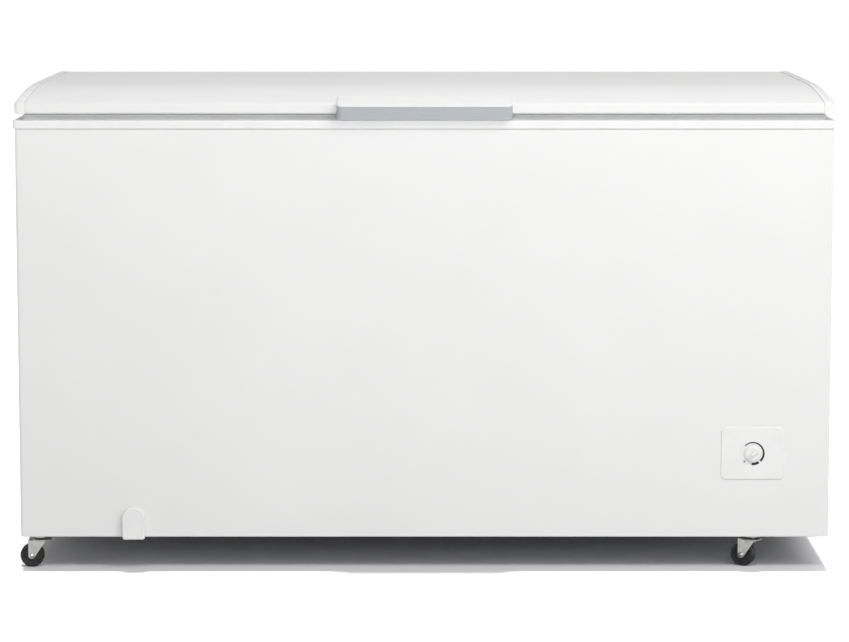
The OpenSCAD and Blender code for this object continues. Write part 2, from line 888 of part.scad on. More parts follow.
module gasket_magnets_solid(o) {
    ring(gasket_half_w - 4 + o, gasket_half_d - 4 + o, magnet[0] + 2 * o,
         magnet_z - o, magnet_z + magnet[1] + o);
}

module gasket_magnets() {
    color("dimgray")
    difference() {
        gasket_magnets_solid(0);
        // the four strips don't meet at the corners
        for (sx = [-1, 1], sy = [-1, 1])
            translate([sx * gasket_half_w, sy * gasket_half_d, magnet_z]) cube([40, 40, 20], center = true);
    }
}

// ---------- Handle ----------

module handle_outline(h, z) {
    translate([0, front_y - handle_out, z]) linear_extrude(h) polygon(concat(
        arc_points([-handle_w / 2 + handle_r, handle_r], handle_r, 180, 270),
        arc_points([handle_w / 2 - handle_r, handle_r], handle_r, 270, 360),
        [[handle_w / 2, 200], [-handle_w / 2, 200]]
    ));
}

// Height of the cover's top at a place y
function cover_z(y) = cover_front_z + (y - front_y + handle_out) * cover_rise;

// Height of the lid's sheet at a place y on the curved front
function skin_z(y) = lid_top - skin_drop - crown_r + sqrt(pow(crown_r, 2) - pow(crown_y - y, 2));

module handle_cover() {
    y0 = front_y - handle_out - 1;
    y1 = front_y + cover_run;
    color("white")
    intersection() {
        handle_outline(60, lid_z);
        along_x(-handle_w / 2 - 1, handle_w / 2 + 1) polygon(concat(
            [[y1, cover_z(y1)], [y0, cover_z(y0)], [y0, cover_z(y0) - cover_t]],
            [[front_y - 1, cover_z(front_y) - cover_t]],
            [for (i = [0:6]) let (y = front_y + 1 + i * (cover_run - 1) / 6) [y, skin_z(y) + touch]]
        ));
    }
}

module handle_grip() {
    low = frame_top + 2;
    y_back = front_y - touch;
    under = cover_t + touch;
    color("lightsteelblue")
    difference() {
        intersection() {
            handle_outline(60, low);
            along_x(-handle_w / 2 - 1, handle_w / 2 + 1) polygon([
                [front_y - handle_out - 1, low],
                [front_y - handle_out - 1, cover_z(front_y - handle_out - 1) - under],
                [y_back, cover_z(y_back) - under],
                [y_back, lid_z + 2], [y_back - 3, lid_z + 2], [y_back - 3, low]
            ]);
        }
        // finger pocket, open at the bottom
        slab([-handle_w / 2 + handle_wall + 4, front_y - handle_out + handle_wall, low - 1],
             [handle_w / 2 - handle_wall - 4, y_back - 3, lid_z + 11]);
    }
}

// ---------- Hinges ----------

module at_hinges() {
    for (side = [-1, 1]) translate([side * hinge_x, 0, 0]) children();
}

module hinge_bases() {
    low = frame_top - 124;
    high = frame_top - frame_h - 2;
    ear = concat(
        [[back_y + 2, low + 20], [back_y + 18, low + 20]],
        arc_points([pin_y, pin_z], ear_r, 0, 180, 12),
        [[pin_y - ear_r, high], [back_y + 2, high]]
    );
    color("silver")
    at_hinges() difference() {
        union() {
            slab([-ear_x - 5, back_y + touch, low], [ear_x + 5, back_y + 2.5, high]);
            for (x = [-ear_x, ear_x]) along_x(x - 1.5, x + 1.5) polygon(ear);
            // seat of the spring's leg
            slab([-16, back_y + 2, high - 34], [16, pin_y - 9 - 1.5 - touch, high - 10]);
        }
        translate([0, pin_y, pin_z]) rod_x(pin_r, -50, 50);
        for (x = base_screw_dx, z = base_screw_z) translate([x, 0, z]) rod_y(2.5, back_y - 1, back_y + 3);
    }
}

leaf_high = lid_top - 5;
leaf_screw_dx = [-13, 13];
leaf_screw_z = [lid_z + 14, leaf_high - 8];
leaf_screws = [for (side = [-1, 1], dx = leaf_screw_dx, z = leaf_screw_z) [side * hinge_x + dx, z]];

module hinge_leaves() {
    lug = concat(
        [[back_y + 1, leaf_high - 4], [back_y + 1, lid_z + 4]],
        arc_points([pin_y, pin_z], 9, 200, 380, 12),
        [[back_y + 6, leaf_high - 4]]
    );
    color("silver")
    at_hinges() difference() {
        union() {
            slab([-leaf_x - 3, back_y + touch, lid_z + 4], [leaf_x + 3, back_y + 2.5, leaf_high]);
            for (x = [-leaf_x, leaf_x]) along_x(x - 2, x + 2) polygon(lug);
        }
        translate([0, pin_y, pin_z]) rod_x(pin_r + run, -50, 50);
        for (x = leaf_screw_dx, z = leaf_screw_z) translate([x, 0, z]) rod_y(2.5, back_y - 1, back_y + 3);
    }
}

module hinge_pins() {
    color("silver")
    at_hinges() translate([0, pin_y, pin_z]) {
        rod_x(pin_r, -ear_x - 3.5, ear_x + 1.5 + 3);
        rod_x(pin_r + 2.5, ear_x + 1.5 + touch, ear_x + 4.5);
    }
}

// Torsion spring round each pin: a helix with one leg down to the base
spring_turns = 9;
spring_r = 9;
spring_wire = 1.5;
spring_half = 16;
steps_per_turn = 10;
spring_points = concat(
    [[-spring_half, -spring_r, -46], [-spring_half, -spring_r, -30], [-spring_half, -spring_r, -15]],
    [for (i = [0:spring_turns * steps_per_turn])
        let (a = 180 - 360 * i / steps_per_turn)
        let (x = -spring_half + 2 * spring_half * i / (spring_turns * steps_per_turn))
        [x, spring_r * cos(a), spring_r * sin(a)]]
);

// Sweeps a round section along points that stay near a circle about X
function sweep_ring(p, tangent, r, n) =
    let (side = unit(cross(tangent, [1, 0, 0.001])), other = unit(cross(tangent, side)))
    [for (k = [0:n - 1]) p + r * (cos(360 * k / n) * side + sin(360 * k / n) * other)];

module wire(points, r, n = 6) {
    last = len(points) - 1;
    rings = [for (i = [0:last])
        each sweep_ring(points[i], unit(points[min(i + 1, last)] - points[max(i - 1, 0)]), r, n)];
    sides = [for (i = [0:last - 1], k = [0:n - 1])
        [i * n + k, (i + 1) * n + k, (i + 1) * n + (k + 1) % n, i * n + (k + 1) % n]];
    ends = [[for (k = [0:n - 1]) k], [for (k = [n - 1:-1:0]) last * n + k]];
    polyhedron(points = rings, faces = concat(sides, ends), convexity = 8);
}

module hinge_springs() {
    color("dimgray")
    at_hinges() translate([0, pin_y, pin_z]) wire(spring_points, spring_wire);
}

// ---------- Screws ----------

module cabinet_screws() {
    color("silver") {
        for (p = grille_screws) screw_at_back([p[0], back_y + 3 + touch, p[1]], 8);
        for (p = base_screws) screw_at_back([p[0], back_y + 2.5 + touch, p[1]], 8);
        for (c = caster_places, sx = [-1, 1], sy = [-1, 1])
            translate([c[0] + sx * plate_hole[0], c[1] + sy * plate_hole[1], base_z - 2.5 - touch])
            rotate([180, 0, 0]) screw(7);
    }
}

module lid_screws() {
    color("silver")
    for (p = leaf_screws) screw_at_back([p[0], back_y + 2.5 + touch, p[1]], 8);
}

// ---------- Casters ----------

module at_caster(c) {
    translate([caster_places[c][0], caster_places[c][1], 0]) rotate([0, 0, caster_places[c][2]]) children();
}

module caster_plates() {
    color("silver")
    for (c = caster_places) translate([c[0], c[1], 0]) difference() {
        union() {
            translate([0, 0, base_z - 2.5]) linear_extrude(2.5)
                polygon(round_rect(plate_size[0], plate_size[1], 5));
            translate([0, 0, 57.5]) cylinder(r = 19, h = base_z - 59);
            cylinder_between(5, 48, 58);
            cylinder_between(8, 47, 49.5);
        }
        for (sx = [-1, 1], sy = [-1, 1])
            translate([sx * plate_hole[0], sy * plate_hole[1], base_z - 3]) cylinder(r = 2.5, h = 4);
    }
}

module cylinder_between(r, z0, z1) {
    translate([0, 0, z0]) cylinder(r = r, h = z1 - z0);
}

module caster_fork(c) {
    back = -trail - 6.4;
    leg = concat(
        [[back, 52]],
        arc_points([-trail, wheel_r], 6.4, 180, 318, 8),
        [[6, 50], [6, 52]]
    );
    color("silver")
    at_caster(c) difference() {
        union() {
            for (side = [-1, 1]) along_y_at(side * leg_y, leg_t) polygon(leg);
            slab([back, -leg_y - leg_t / 2, 50], [6, leg_y + leg_t / 2, 53]);
            cylinder_between(20, 51, 57);
        }
        cylinder_between(5 + run, 40, 60);
        translate([-trail, 0, wheel_r]) rod_y(axle_r, -30, 30);
    }
}

module along_y_at(y, t) {
    along_y(y - t / 2, y + t / 2) children();
}

module caster_axle(c) {
    out = leg_y + leg_t / 2 + touch;
    color("silver")
    at_caster(c) translate([-trail, 0, wheel_r]) {
        rod_y(axle_r, -out - 5, out + 1);
        translate([0, out + 3, 0]) rotate([90, 0, 0]) cylinder(r = 5.2, h = 3, $fn = 6);
        translate([0, -out, 0]) rotate([90, 0, 0]) cylinder(r = 5.6, h = 4, $fn = 6);
    }
}

module caster_wheel(c) {
    hub = wheel_w / 2 + 1;
    color("black")
    at_caster(c) translate([-trail, 0, wheel_r]) rotate([90, 0, 0])
    difference() {
        rotate_extrude($fn = 96) polygon([
            [axle_r + run, -hub], [8, -hub], [9, -wheel_w / 2 + 2], [15, -wheel_w / 2 + 2],
            [16, -wheel_w / 2], [wheel_r - 2, -wheel_w / 2], [wheel_r, -wheel_w / 2 + 2],
            [wheel_r, wheel_w / 2 - 2], [wheel_r - 2, wheel_w / 2], [16, wheel_w / 2],
            [15, wheel_w / 2 - 2], [9, wheel_w / 2 - 2], [8, hub], [axle_r + run, hub]
        ]);
    }
}

// ---------- Nodes ----------

front_panel();
side_panel(-1);  // left_side_panel
side_panel(1);  // right_side_panel
back_panel();
base_pan();
foam_insulation();
inner_liner();
top_frame();
evaporator_coil();
condenser_coil();
compressor_tray();
compressor();
compressor_grommets();
compressor_bolts();
terminal_cover();
filter_drier();
discharge_tube();
suction_tube();
capillary_tube();
bay_grille();
cord_bushing();
control_panel();
thermostat_body();
thermostat_spindle();
thermostat_knob();
drain_pipe();
drain_cap();
drain_plug();
basket();
lid_skin();
mirror([1, 0, 0]) lid_end_cap();  // lid_end_cap_left
lid_end_cap();  // lid_end_cap_right
lid_foam();
lid_plug_foam();
lid_inner_panel();
lid_gasket();
gasket_magnets();
handle_grip();
handle_cover();
hinge_bases();
hinge_leaves();
hinge_pins();
hinge_springs();
cabinet_screws();
lid_screws();
caster_plates();
caster_fork(0);  // caster_fork_front_left
caster_fork(1);  // caster_fork_front_right
caster_fork(2);  // caster_fork_rear_left
caster_fork(3);  // caster_fork_rear_right
caster_axle(0);  // caster_axle_front_left
caster_axle(1);  // caster_axle_front_right
caster_axle(2);  // caster_axle_rear_left
caster_axle(3);  // caster_axle_rear_right
caster_wheel(0);  // caster_wheel_front_left
caster_wheel(1);  // caster_wheel_front_right
caster_wheel(2);  // caster_wheel_rear_left
caster_wheel(3);  // caster_wheel_rear_right
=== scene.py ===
"""Looks of a wide one-lid chest freezer on casters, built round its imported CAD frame."""

import json
import math

import bmesh
import bpy
from mathutils import Matrix, Vector

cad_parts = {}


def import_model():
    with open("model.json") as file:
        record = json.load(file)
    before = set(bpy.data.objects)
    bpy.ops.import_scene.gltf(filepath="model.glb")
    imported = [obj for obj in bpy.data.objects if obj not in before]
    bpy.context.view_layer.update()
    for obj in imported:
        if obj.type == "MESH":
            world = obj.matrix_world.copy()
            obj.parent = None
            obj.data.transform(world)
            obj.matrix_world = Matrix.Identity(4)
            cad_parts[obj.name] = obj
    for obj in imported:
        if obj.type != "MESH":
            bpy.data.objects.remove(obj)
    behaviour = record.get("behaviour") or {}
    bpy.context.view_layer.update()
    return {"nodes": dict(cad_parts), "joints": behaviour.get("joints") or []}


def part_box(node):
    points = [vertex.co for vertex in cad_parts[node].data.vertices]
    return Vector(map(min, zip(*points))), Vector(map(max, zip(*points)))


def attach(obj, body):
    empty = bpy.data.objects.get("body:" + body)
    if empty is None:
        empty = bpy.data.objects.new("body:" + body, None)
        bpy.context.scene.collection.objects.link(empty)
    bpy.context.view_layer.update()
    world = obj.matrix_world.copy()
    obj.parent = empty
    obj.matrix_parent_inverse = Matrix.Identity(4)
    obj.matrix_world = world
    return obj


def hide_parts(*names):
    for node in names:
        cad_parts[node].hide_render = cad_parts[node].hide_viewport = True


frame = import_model()

MM = 0.001

# ---------- Places, read from the frame ----------

panel_low, panel_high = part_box("front_panel")
HALF_W = panel_high.x
FRONT = panel_low.y
BACK = -FRONT
BASE = panel_low.z
PANEL_TOP = panel_high.z
RETURN = panel_high.y  # where the front sheet's returns end
CORNER = 6 * MM  # radius of the front sheet's upright corners
SHEET = 0.8 * MM  # thickness of the painted sheets
HEM_R, HEM_FLANGE = 1.6 * MM, 12 * MM
rim_low, rim_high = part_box("top_frame")
cap_low, cap_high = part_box("lid_end_cap_right")
LID_LOW = cap_low.z
LID_TOP = cap_high.z
CAP_W = cap_high.x - cap_low.x
SKIN_DROP = 1.3 * MM  # how far the lid's sheet lies below its moulded ends
CROWN_Y = FRONT + 250 * MM  # where the lid's top starts to curve down
CROWN_R = 2200 * MM
CREASE = 1.5  # degrees of tilt where that curve starts
NOSE_R = 4.5 * MM  # radius of the lid's front edge

SHARP = 32  # degrees between two faces above which their edge is sharp


# ---------- Mesh tools ----------


def link(name, data):
    obj = bpy.data.objects.new(name, data)
    bpy.context.scene.collection.objects.link(obj)
    return obj


def shade(mesh, angle=SHARP):
    """Smooth shading, with sharp edges above angle degrees. A cap with many corners stays flat."""
    bm = bmesh.new()
    bm.from_mesh(mesh)
    bmesh.ops.remove_doubles(bm, verts=bm.verts, dist=1e-6)
    bmesh.ops.dissolve_degenerate(bm, edges=bm.edges, dist=1e-7)
    bmesh.ops.recalc_face_normals(bm, faces=bm.faces)
    for face in bm.faces:
        face.smooth = len(face.verts) <= 4
    for edge in bm.edges:
        two = len(edge.link_faces) == 2
        edge.smooth = not (two and edge.calc_face_angle() > math.radians(angle))
    bm.to_mesh(mesh)
    bm.free()


def make(name, points, faces, angle=SHARP):
    """Object from points and faces."""
    mesh = bpy.data.meshes.new(name)
    mesh.from_pydata([tuple(p) for p in points], [], faces)
    shade(mesh, angle)
    return link(name, mesh)


def loft(name, rings, closed=True, caps=(True, True), loop=False, angle=SHARP):
    """Quads between rings of equal length.

    closed joins each ring's ends, and loop joins the last ring to the first.
    """
    n = len(rings[0])
    points = [p for ring in rings for p in ring]
    faces = []
    last = len(rings) if loop else len(rings) - 1
    for i in range(last):
        a, b = i * n, (i + 1) % len(rings) * n
        for k in range(n if closed else n - 1):
            m = (k + 1) % n
            faces.append((a + k, a + m, b + m, b + k))
    if not loop and caps[0]:
        faces.append(tuple(range(n)))
    if not loop and caps[1]:
        faces.append(tuple(len(points) - n + k for k in range(n)))
    return make(name, points, faces, angle)


def arc(cx, cy, r, a0, a1, n=6):
    """Points on a circle from angle a0 to a1, in degrees."""
    steps = [math.radians(a0 + (a1 - a0) * i / n) for i in range(n + 1)]
    return [(cx + r * math.cos(a), cy + r * math.sin(a)) for a in steps]


def round_rect(w, h, r, n=6):
    """Outline of a rectangle of half sizes w and h with round corners."""
    r = max(r, 0.05 * MM)
    return (
        arc(w - r, h - r, r, 0, 90, n)
        + arc(-w + r, h - r, r, 90, 180, n)
        + arc(-w + r, -h + r, r, 180, 270, n)
        + arc(w - r, -h + r, r, 270, 360, n)
    )


def stadium(cx, cy, half, r, n=6):
    """Outline of a level slot with round ends."""
    return arc(cx + half, cy, r, -90, 90, n) + arc(cx - half, cy, r, 90, 270, n)


def lathe(name, profile, place, segments, angle=SHARP):
    """Turns a closed profile of (radius, height) round the local Z of place."""
    rings = []
    for i in range(segments):
        a = 2 * math.pi * i / segments
        rings.append([place @ Vector((r * math.cos(a), r * math.sin(a), z)) for r, z in profile])
    return loft(name, rings, loop=True, angle=angle)


def settle(obj):
    """Replaces a curve by its mesh."""
    graph = bpy.context.evaluated_depsgraph_get()
    mesh = bpy.data.meshes.new_from_object(obj.evaluated_get(graph))
    name, curve = obj.name, obj.data
    bpy.data.objects.remove(obj)
    bpy.data.curves.remove(curve)
    return link(name, mesh)


def plate(name, loops, thickness, place):
    """Flat plate in the XY plane of place, up to Z = thickness.

    The first loop is its outline, and the others are holes.
    """
    curve = bpy.data.curves.new(name, "CURVE")
    curve.dimensions = "2D"
    curve.fill_mode = "BOTH"
    curve.extrude = thickness / 2
    for loop in loops:
        spline = curve.splines.new("POLY")
        spline.points.add(len(loop) - 1)
        for point, (x, y) in zip(spline.points, loop):
            point.co = (x, y, 0, 1)
        spline.use_cyclic_u = True
    obj = settle(link(name, curve))
    obj.data.transform(place @ Matrix.Translation((0, 0, thickness / 2)))
    shade(obj.data)
    return obj


def tube(name, paths, radius, sides=3):
    """Round wire or pipe along each path of 3D points."""
    curve = bpy.data.curves.new(name, "CURVE")
    curve.dimensions = "3D"
    curve.bevel_depth = radius
    curve.bevel_resolution = sides
    curve.use_fill_caps = True
    for path, cyclic in paths:
        spline = curve.splines.new("POLY")
        spline.points.add(len(path) - 1)
        for point, p in zip(spline.points, path):
            point.co = (*p, 1)
        spline.use_cyclic_u = cyclic
    obj = settle(link(name, curve))
    shade(obj.data, 50)
    return obj


def bend(corners, r, n=5, closed=False):
    """Points along corners, each turned on a curve that starts r before it."""
    corners = [Vector(c) for c in corners]
    out = []
    for i, c in enumerate(corners):
        if not closed and i in (0, len(corners) - 1):
            out.append(c)
            continue
        a = corners[i - 1]
        b = corners[(i + 1) % len(corners)]
        start = c + (a - c).normalized() * r
        stop = c + (b - c).normalized() * r
        for k in range(n + 1):
            t = k / n
            out.append(start * (1 - t) ** 2 + c * 2 * t * (1 - t) + stop * t**2)
    return out


def join(name, objs):
    """One object from several, which must hold no modifiers."""
    bm = bmesh.new()
    for obj in objs:
        bm.from_mesh(obj.data)
    mesh = bpy.data.meshes.new(name)
    bm.to_mesh(mesh)
    bm.free()
    for obj in objs:
        bpy.data.objects.remove(obj)
    return link(name, mesh)


def piece(obj, material, body, slot, *nodes, edge=0.0, segments=3):
    """Gives a new piece its material, its body and its rounded edges.

    nodes are the CAD nodes that it stands for.
    """
    obj.data.materials.clear()
    obj.data.materials.append(material)
    if edge:
        bevel = obj.modifiers.new("edges", "BEVEL")
        bevel.width = edge
        bevel.segments = segments
        bevel.limit_method = "ANGLE"
        bevel.angle_limit = math.radians(40)
        bevel.harden_normals = True
    # large flat faces keep their own direction, and the small ones beside them take the turn
    weighted = obj.modifiers.new("weighted", "WEIGHTED_NORMAL")
    weighted.keep_sharp = True
    weighted.weight = 90
    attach(obj, body)
    if nodes:
        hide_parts(*nodes)
    return obj


def thicken(obj, thickness, offset):
    """Gives an open surface a thickness: centred at offset 0, and along its normals at offset 1."""
    solid = obj.modifiers.new("thickness", "SOLIDIFY")
    solid.thickness = thickness
    solid.offset = offset


def middle_and_half(node):
    """Centre and half size of a CAD node's box across its front: x, z, half width, half height."""
    low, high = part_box(node)
    return (low.x + high.x) / 2, (low.z + high.z) / 2, (high.x - low.x) / 2, (high.z - low.z) / 2


def keep(node, material):
    """Gives a CAD node a material."""
    obj = frame["nodes"][node]
    obj.data.materials.clear()
    obj.data.materials.append(material)


def to_front(x, z, y):
    """Local XY to the world's X and Z, with local Z towards the front."""
    return Matrix(((1, 0, 0, x), (0, 0, -1, y), (0, 1, 0, z), (0, 0, 0, 1)))


def to_back(x, z, y):
    """Local XY to the world's -X and Z, with local Z towards the back."""
    return Matrix(((-1, 0, 0, x), (0, 0, 1, y), (0, 1, 0, z), (0, 0, 0, 1)))


# ---------- Materials ----------


class Surface:
    """A Principled material, and short ways to drive it from patterns."""

    def __init__(self, name, colour, roughness, metallic=0.0, **sockets):
        self.material = bpy.data.materials.new(name)
        self.material.use_nodes = True
        self.tree = self.material.node_tree
        self.shader = self.tree.nodes["Principled BSDF"]
        self.shader.inputs["Base Color"].default_value = (*colour, 1)
        self.shader.inputs["Roughness"].default_value = roughness
        self.shader.inputs["Metallic"].default_value = metallic
        for socket, value in sockets.items():
            self.shader.inputs[socket.replace("_", " ")].default_value = value
        self.place = self.add("ShaderNodeTexCoord").outputs["Object"]
        self.normal = None

    def add(self, kind, **settings):
        """New node, with its settings."""
        node = self.tree.nodes.new(kind)
        for key, value in settings.items():
            setattr(node, key, value)
        return node

    def wire(self, a, b):
        self.tree.links.new(a, b)

    def stretched(self, scale):
        """The object's coordinates scaled by three factors."""
        node = self.add("ShaderNodeMapping")
        node.inputs["Scale"].default_value = scale
        self.wire(self.place, node.inputs["Vector"])
        return node.outputs["Vector"]

    def noise(self, scale, detail, vector=None):
        node = self.add("ShaderNodeTexNoise")
        node.inputs["Scale"].default_value = scale
        node.inputs["Detail"].default_value = detail
        node.inputs["Roughness"].default_value = 0.55
        self.wire(vector or self.place, node.inputs["Vector"])
        return node.outputs["Fac"]

    def cells(self, scale, output):
        node = self.add("ShaderNodeTexVoronoi")
        node.inputs["Scale"].default_value = scale
        self.wire(self.place, node.inputs["Vector"])
        return node.outputs[output]

    def spread(self, value, low, high, start=0.3, stop=0.7):
        """value from start to stop becomes low to high."""
        node = self.add("ShaderNodeMapRange")
        for socket, number in (("From Min", start), ("From Max", stop), ("To Min", low), ("To Max", high)):
            node.inputs[socket].default_value = number
        self.wire(value, node.inputs["Value"])
        return node.outputs["Result"]

    def tint(self, value, low, high, start=0.3, stop=0.7):
        """The base colour goes from low to high as value goes from start to stop."""
        node = self.add("ShaderNodeMix", data_type="RGBA")
        node.inputs["A"].default_value = (*low, 1)
        node.inputs["B"].default_value = (*high, 1)
        self.wire(self.spread(value, 0, 1, start, stop), node.inputs["Factor"])
        self.wire(node.outputs["Result"], self.shader.inputs["Base Color"])

    def gloss(self, value, low, high, start=0.3, stop=0.7):
        """The roughness goes from low to high as value goes from start to stop."""
        self.wire(self.spread(value, low, high, start, stop), self.shader.inputs["Roughness"])

    def relief(self, value, depth, strength=1.0):
        """Adds a bump of value times depth metres."""
        node = self.add("ShaderNodeBump")
        node.inputs["Distance"].default_value = depth
        node.inputs["Strength"].default_value = strength
        self.wire(value, node.inputs["Height"])
        if self.normal:
            self.wire(self.normal, node.inputs["Normal"])
        self.normal = node.outputs["Normal"]
        self.wire(self.normal, self.shader.inputs["Normal"])


def near(colour, share):
    """A colour made lighter or darker by a share."""
    return tuple(min(1.0, c * (1 + share)) for c in colour)


def painted(name, colour, roughness, peel=1.0):
    """Powder-coated sheet: faint orange peel, long flat ripples and a slightly uneven gloss."""
    s = Surface(name, colour, roughness, Coat_Weight=0.1, Coat_Roughness=0.2)
    s.tint(s.noise(5, 4), near(colour, -0.012), near(colour, 0.01))
    s.gloss(s.noise(9, 4), roughness - 0.05, roughness + 0.06)
    s.relief(s.noise(1.6, 1), 0.5 * MM, 0.5)
    s.relief(s.noise(650, 2), 0.006 * MM * peel)
    return s.material


def moulded(name, colour, roughness, grain=1.0, mottle=1.0, **sockets):
    """Injection-moulded plastic: fine spark-eroded grain and a faint mottle."""
    s = Surface(name, colour, roughness, **sockets)
    s.tint(s.noise(22, 4), near(colour, -0.025 * mottle), near(colour, 0.02 * mottle))
    s.gloss(s.noise(30, 4), roughness - 0.05 * mottle, roughness + 0.07 * mottle)
    s.relief(s.noise(1900, 2), 0.006 * MM * grain)
    return s.material


def galvanised():
    """Zinc-coated sheet with its spangle of flat crystals."""
    s = Surface("galvanised_sheet", (0.6, 0.62, 0.64), 0.42, 0.9)
    spangle = s.add("ShaderNodeRGBToBW")
    s.wire(s.cells(130, "Color"), spangle.inputs["Color"])
    s.tint(spangle.outputs["Val"], (0.57, 0.585, 0.6), (0.67, 0.685, 0.7), 0.1, 0.9)
    s.gloss(spangle.outputs["Val"], 0.36, 0.5, 0.1, 0.9)
    s.relief(s.noise(60, 4), 0.02 * MM)
    return s.material


def plated():
    """Bright zinc plate with a faint rolled grain and duller, yellower patches."""
    s = Surface("zinc_plate", (0.72, 0.72, 0.71), 0.3, 1.0)
    s.tint(s.noise(70, 5), (0.62, 0.61, 0.57), (0.8, 0.8, 0.79))
    s.gloss(s.noise(160, 4), 0.22, 0.42)
    s.relief(s.noise(500, 3, s.stretched((1, 1, 6))), 0.008 * MM)
    return s.material


def metal(name, colour, roughness, dull):
    """Bare drawn metal with tarnish."""
    s = Surface(name, colour, roughness, 1.0)
    s.tint(s.noise(45, 5), dull, colour, 0.35, 0.6)
    s.gloss(s.noise(80, 4), roughness - 0.08, roughness + 0.15)
    s.relief(s.noise(900, 2), 0.004 * MM)
    return s.material


def nylon():
    """Black nylon wheel: matt moulding with greyer scuffs."""
    s = Surface("wheel_nylon", (0.03, 0.03, 0.032), 0.48)
    s.tint(s.noise(130, 6), (0.02, 0.02, 0.021), (0.062, 0.06, 0.058), 0.4, 0.75)
    s.gloss(s.noise(200, 4), 0.36, 0.62)
    s.relief(s.noise(700, 4), 0.03 * MM)
    return s.material


def vinyl():
    """Soft grey gasket vinyl with its extrusion lines."""
    colour = (0.72, 0.725, 0.73)
    s = Surface("gasket_vinyl", colour, 0.5, Specular_IOR_Level=0.4)
    s.tint(s.noise(14, 4), near(colour, -0.07), near(colour, 0.06))
    s.relief(s.noise(160, 2, s.stretched((0.02, 0.02, 6))), 0.04 * MM)
    return s.material


def foam():
    """Rigid polyurethane foam: tan, with open cells."""
    s = Surface("pu_foam", (0.74, 0.62, 0.38), 0.9)
    s.tint(s.noise(18, 5), (0.62, 0.5, 0.28), (0.8, 0.69, 0.44))
    s.relief(s.cells(420, "Distance"), 0.4 * MM)
    return s.material


# Share of the light that the floor gives back to the object
BOUNCE = 0.34


def floor_surface():
    """Pale studio floor. What bounces off it is kept low, so that the object isn't lit from below."""
    s = Surface("studio_floor", (0.91, 0.905, 0.94), 0.85, Specular_IOR_Level=0.1)
    s.tint(s.noise(3, 2), (0.905, 0.9, 0.935), (0.915, 0.91, 0.945))
    seen = s.add("ShaderNodeLightPath").outputs["Is Camera Ray"]
    dark = s.add("ShaderNodeBsdfDiffuse")
    dark.inputs["Color"].default_value = (BOUNCE, BOUNCE, BOUNCE, 1)
    mix = s.add("ShaderNodeMixShader")
    s.wire(seen, mix.inputs["Fac"])
    s.wire(dark.outputs["BSDF"], mix.inputs[1])
    s.wire(s.shader.outputs["BSDF"], mix.inputs[2])
    s.wire(mix.outputs["Shader"], s.tree.nodes["Material Output"].inputs["Surface"])
    return s.material


WHITE = (0.83, 0.83, 0.825)
paint = painted("white_powder_coat", WHITE, 0.42)
lid_paint = painted("lid_powder_coat", WHITE, 0.42, 0.8)
white_plastic = moulded("white_moulding", (0.85, 0.85, 0.845), 0.32)
cover_white = moulded("cover_moulding", (0.82, 0.82, 0.814), 0.36)
liner_white = moulded("liner_white", (0.84, 0.85, 0.86), 0.3, 0.5, 0.3)
handle_grey = moulded("handle_grey", (0.445, 0.467, 0.493), 0.42, 1.4)
dark_plastic = moulded("black_moulding", (0.03, 0.03, 0.032), 0.5, 2)
grey_plastic = moulded("grey_moulding", (0.42, 0.43, 0.44), 0.5, 2)
rubber = moulded("black_rubber", (0.022, 0.022, 0.022), 0.75, 4)
wire_coat = moulded("wire_coating", (0.82, 0.83, 0.84), 0.3, 0.6)
print_ink = moulded("scale_ink", (0.018, 0.02, 0.032), 0.5, 0.5)
enamel = painted("black_enamel", (0.016, 0.016, 0.017), 0.32, 3)
zinc = plated()
sheet_zinc = galvanised()
copper = metal("drawn_copper", (0.78, 0.44, 0.3), 0.28, (0.42, 0.22, 0.13))
bare_aluminium = metal("drawn_aluminium", (0.74, 0.75, 0.76), 0.36, (0.55, 0.56, 0.57))
spring_wire = metal("oiled_spring", (0.2, 0.2, 0.21), 0.3, (0.09, 0.085, 0.08))
wheel_nylon = nylon()
gasket_grey = vinyl()
tan_foam = foam()


# ---------- Cabinet ----------


def front_path(inset, z):
    """The front sheet's plan, from its left return round the front to its right return."""
    r = max(CORNER - inset, 0.5 * MM)
    x, y = HALF_W - inset, FRONT + inset
    plan = [(-x, RETURN)] + arc(-x + r, y + r, r, 180, 270, 8) + arc(x - r, y + r, r, 270, 360, 8)
    return [(px, py, z) for px, py in plan + [(x, RETURN)]]


def hem(r, flange):
    """(inset, height) steps that turn a sheet's lower edge under."""
    turn = [(r - r * math.cos(a), r - r * math.sin(a)) for a in (math.radians(15 * i) for i in range(7))]
    return turn + [(flange, 0)]


def hemmed():
    """(inset, height) steps of a painted sheet, from its top edge to the end of its hem."""
    return [(0, PANEL_TOP)] + [(inset, BASE + up) for inset, up in hem(HEM_R, HEM_FLANGE)]


def front_sheet():
    rings = [front_path(inset, z) for inset, z in hemmed()]
    obj = loft("front_sheet", rings, closed=False, caps=(False, False))
    thicken(obj, SHEET, 0)
    piece(obj, paint, "cabinet", "white_steel", "front_panel")


def side_sheet(name, side, node):
    """Side sheet, on side -1 or 1, from just behind the front sheet's return to the back."""
    front = RETURN + 0.6 * MM
    rings = [[(side * (HALF_W - inset), y, z) for inset, z in hemmed()] for y in (front, BACK)]
    obj = loft(name, rings, closed=False, caps=(False, False))
    thicken(obj, SHEET, 0)
    piece(obj, paint, "cabinet", "white_steel", node)


def field(name, w, h, r, rise, place):
    """Shallow pressed field with sloping sides, standing out of a sheet."""
    steps = [(0, -0.3 * MM), (0, 0), (1 * MM, rise * 0.2), (3.4 * MM, rise * 0.85), (4.6 * MM, rise)]
    rings = [[place @ Vector((x, y, z)) for x, y in round_rect(w - i, h - i, r - i)] for i, z in steps]
    return loft(name, rings)


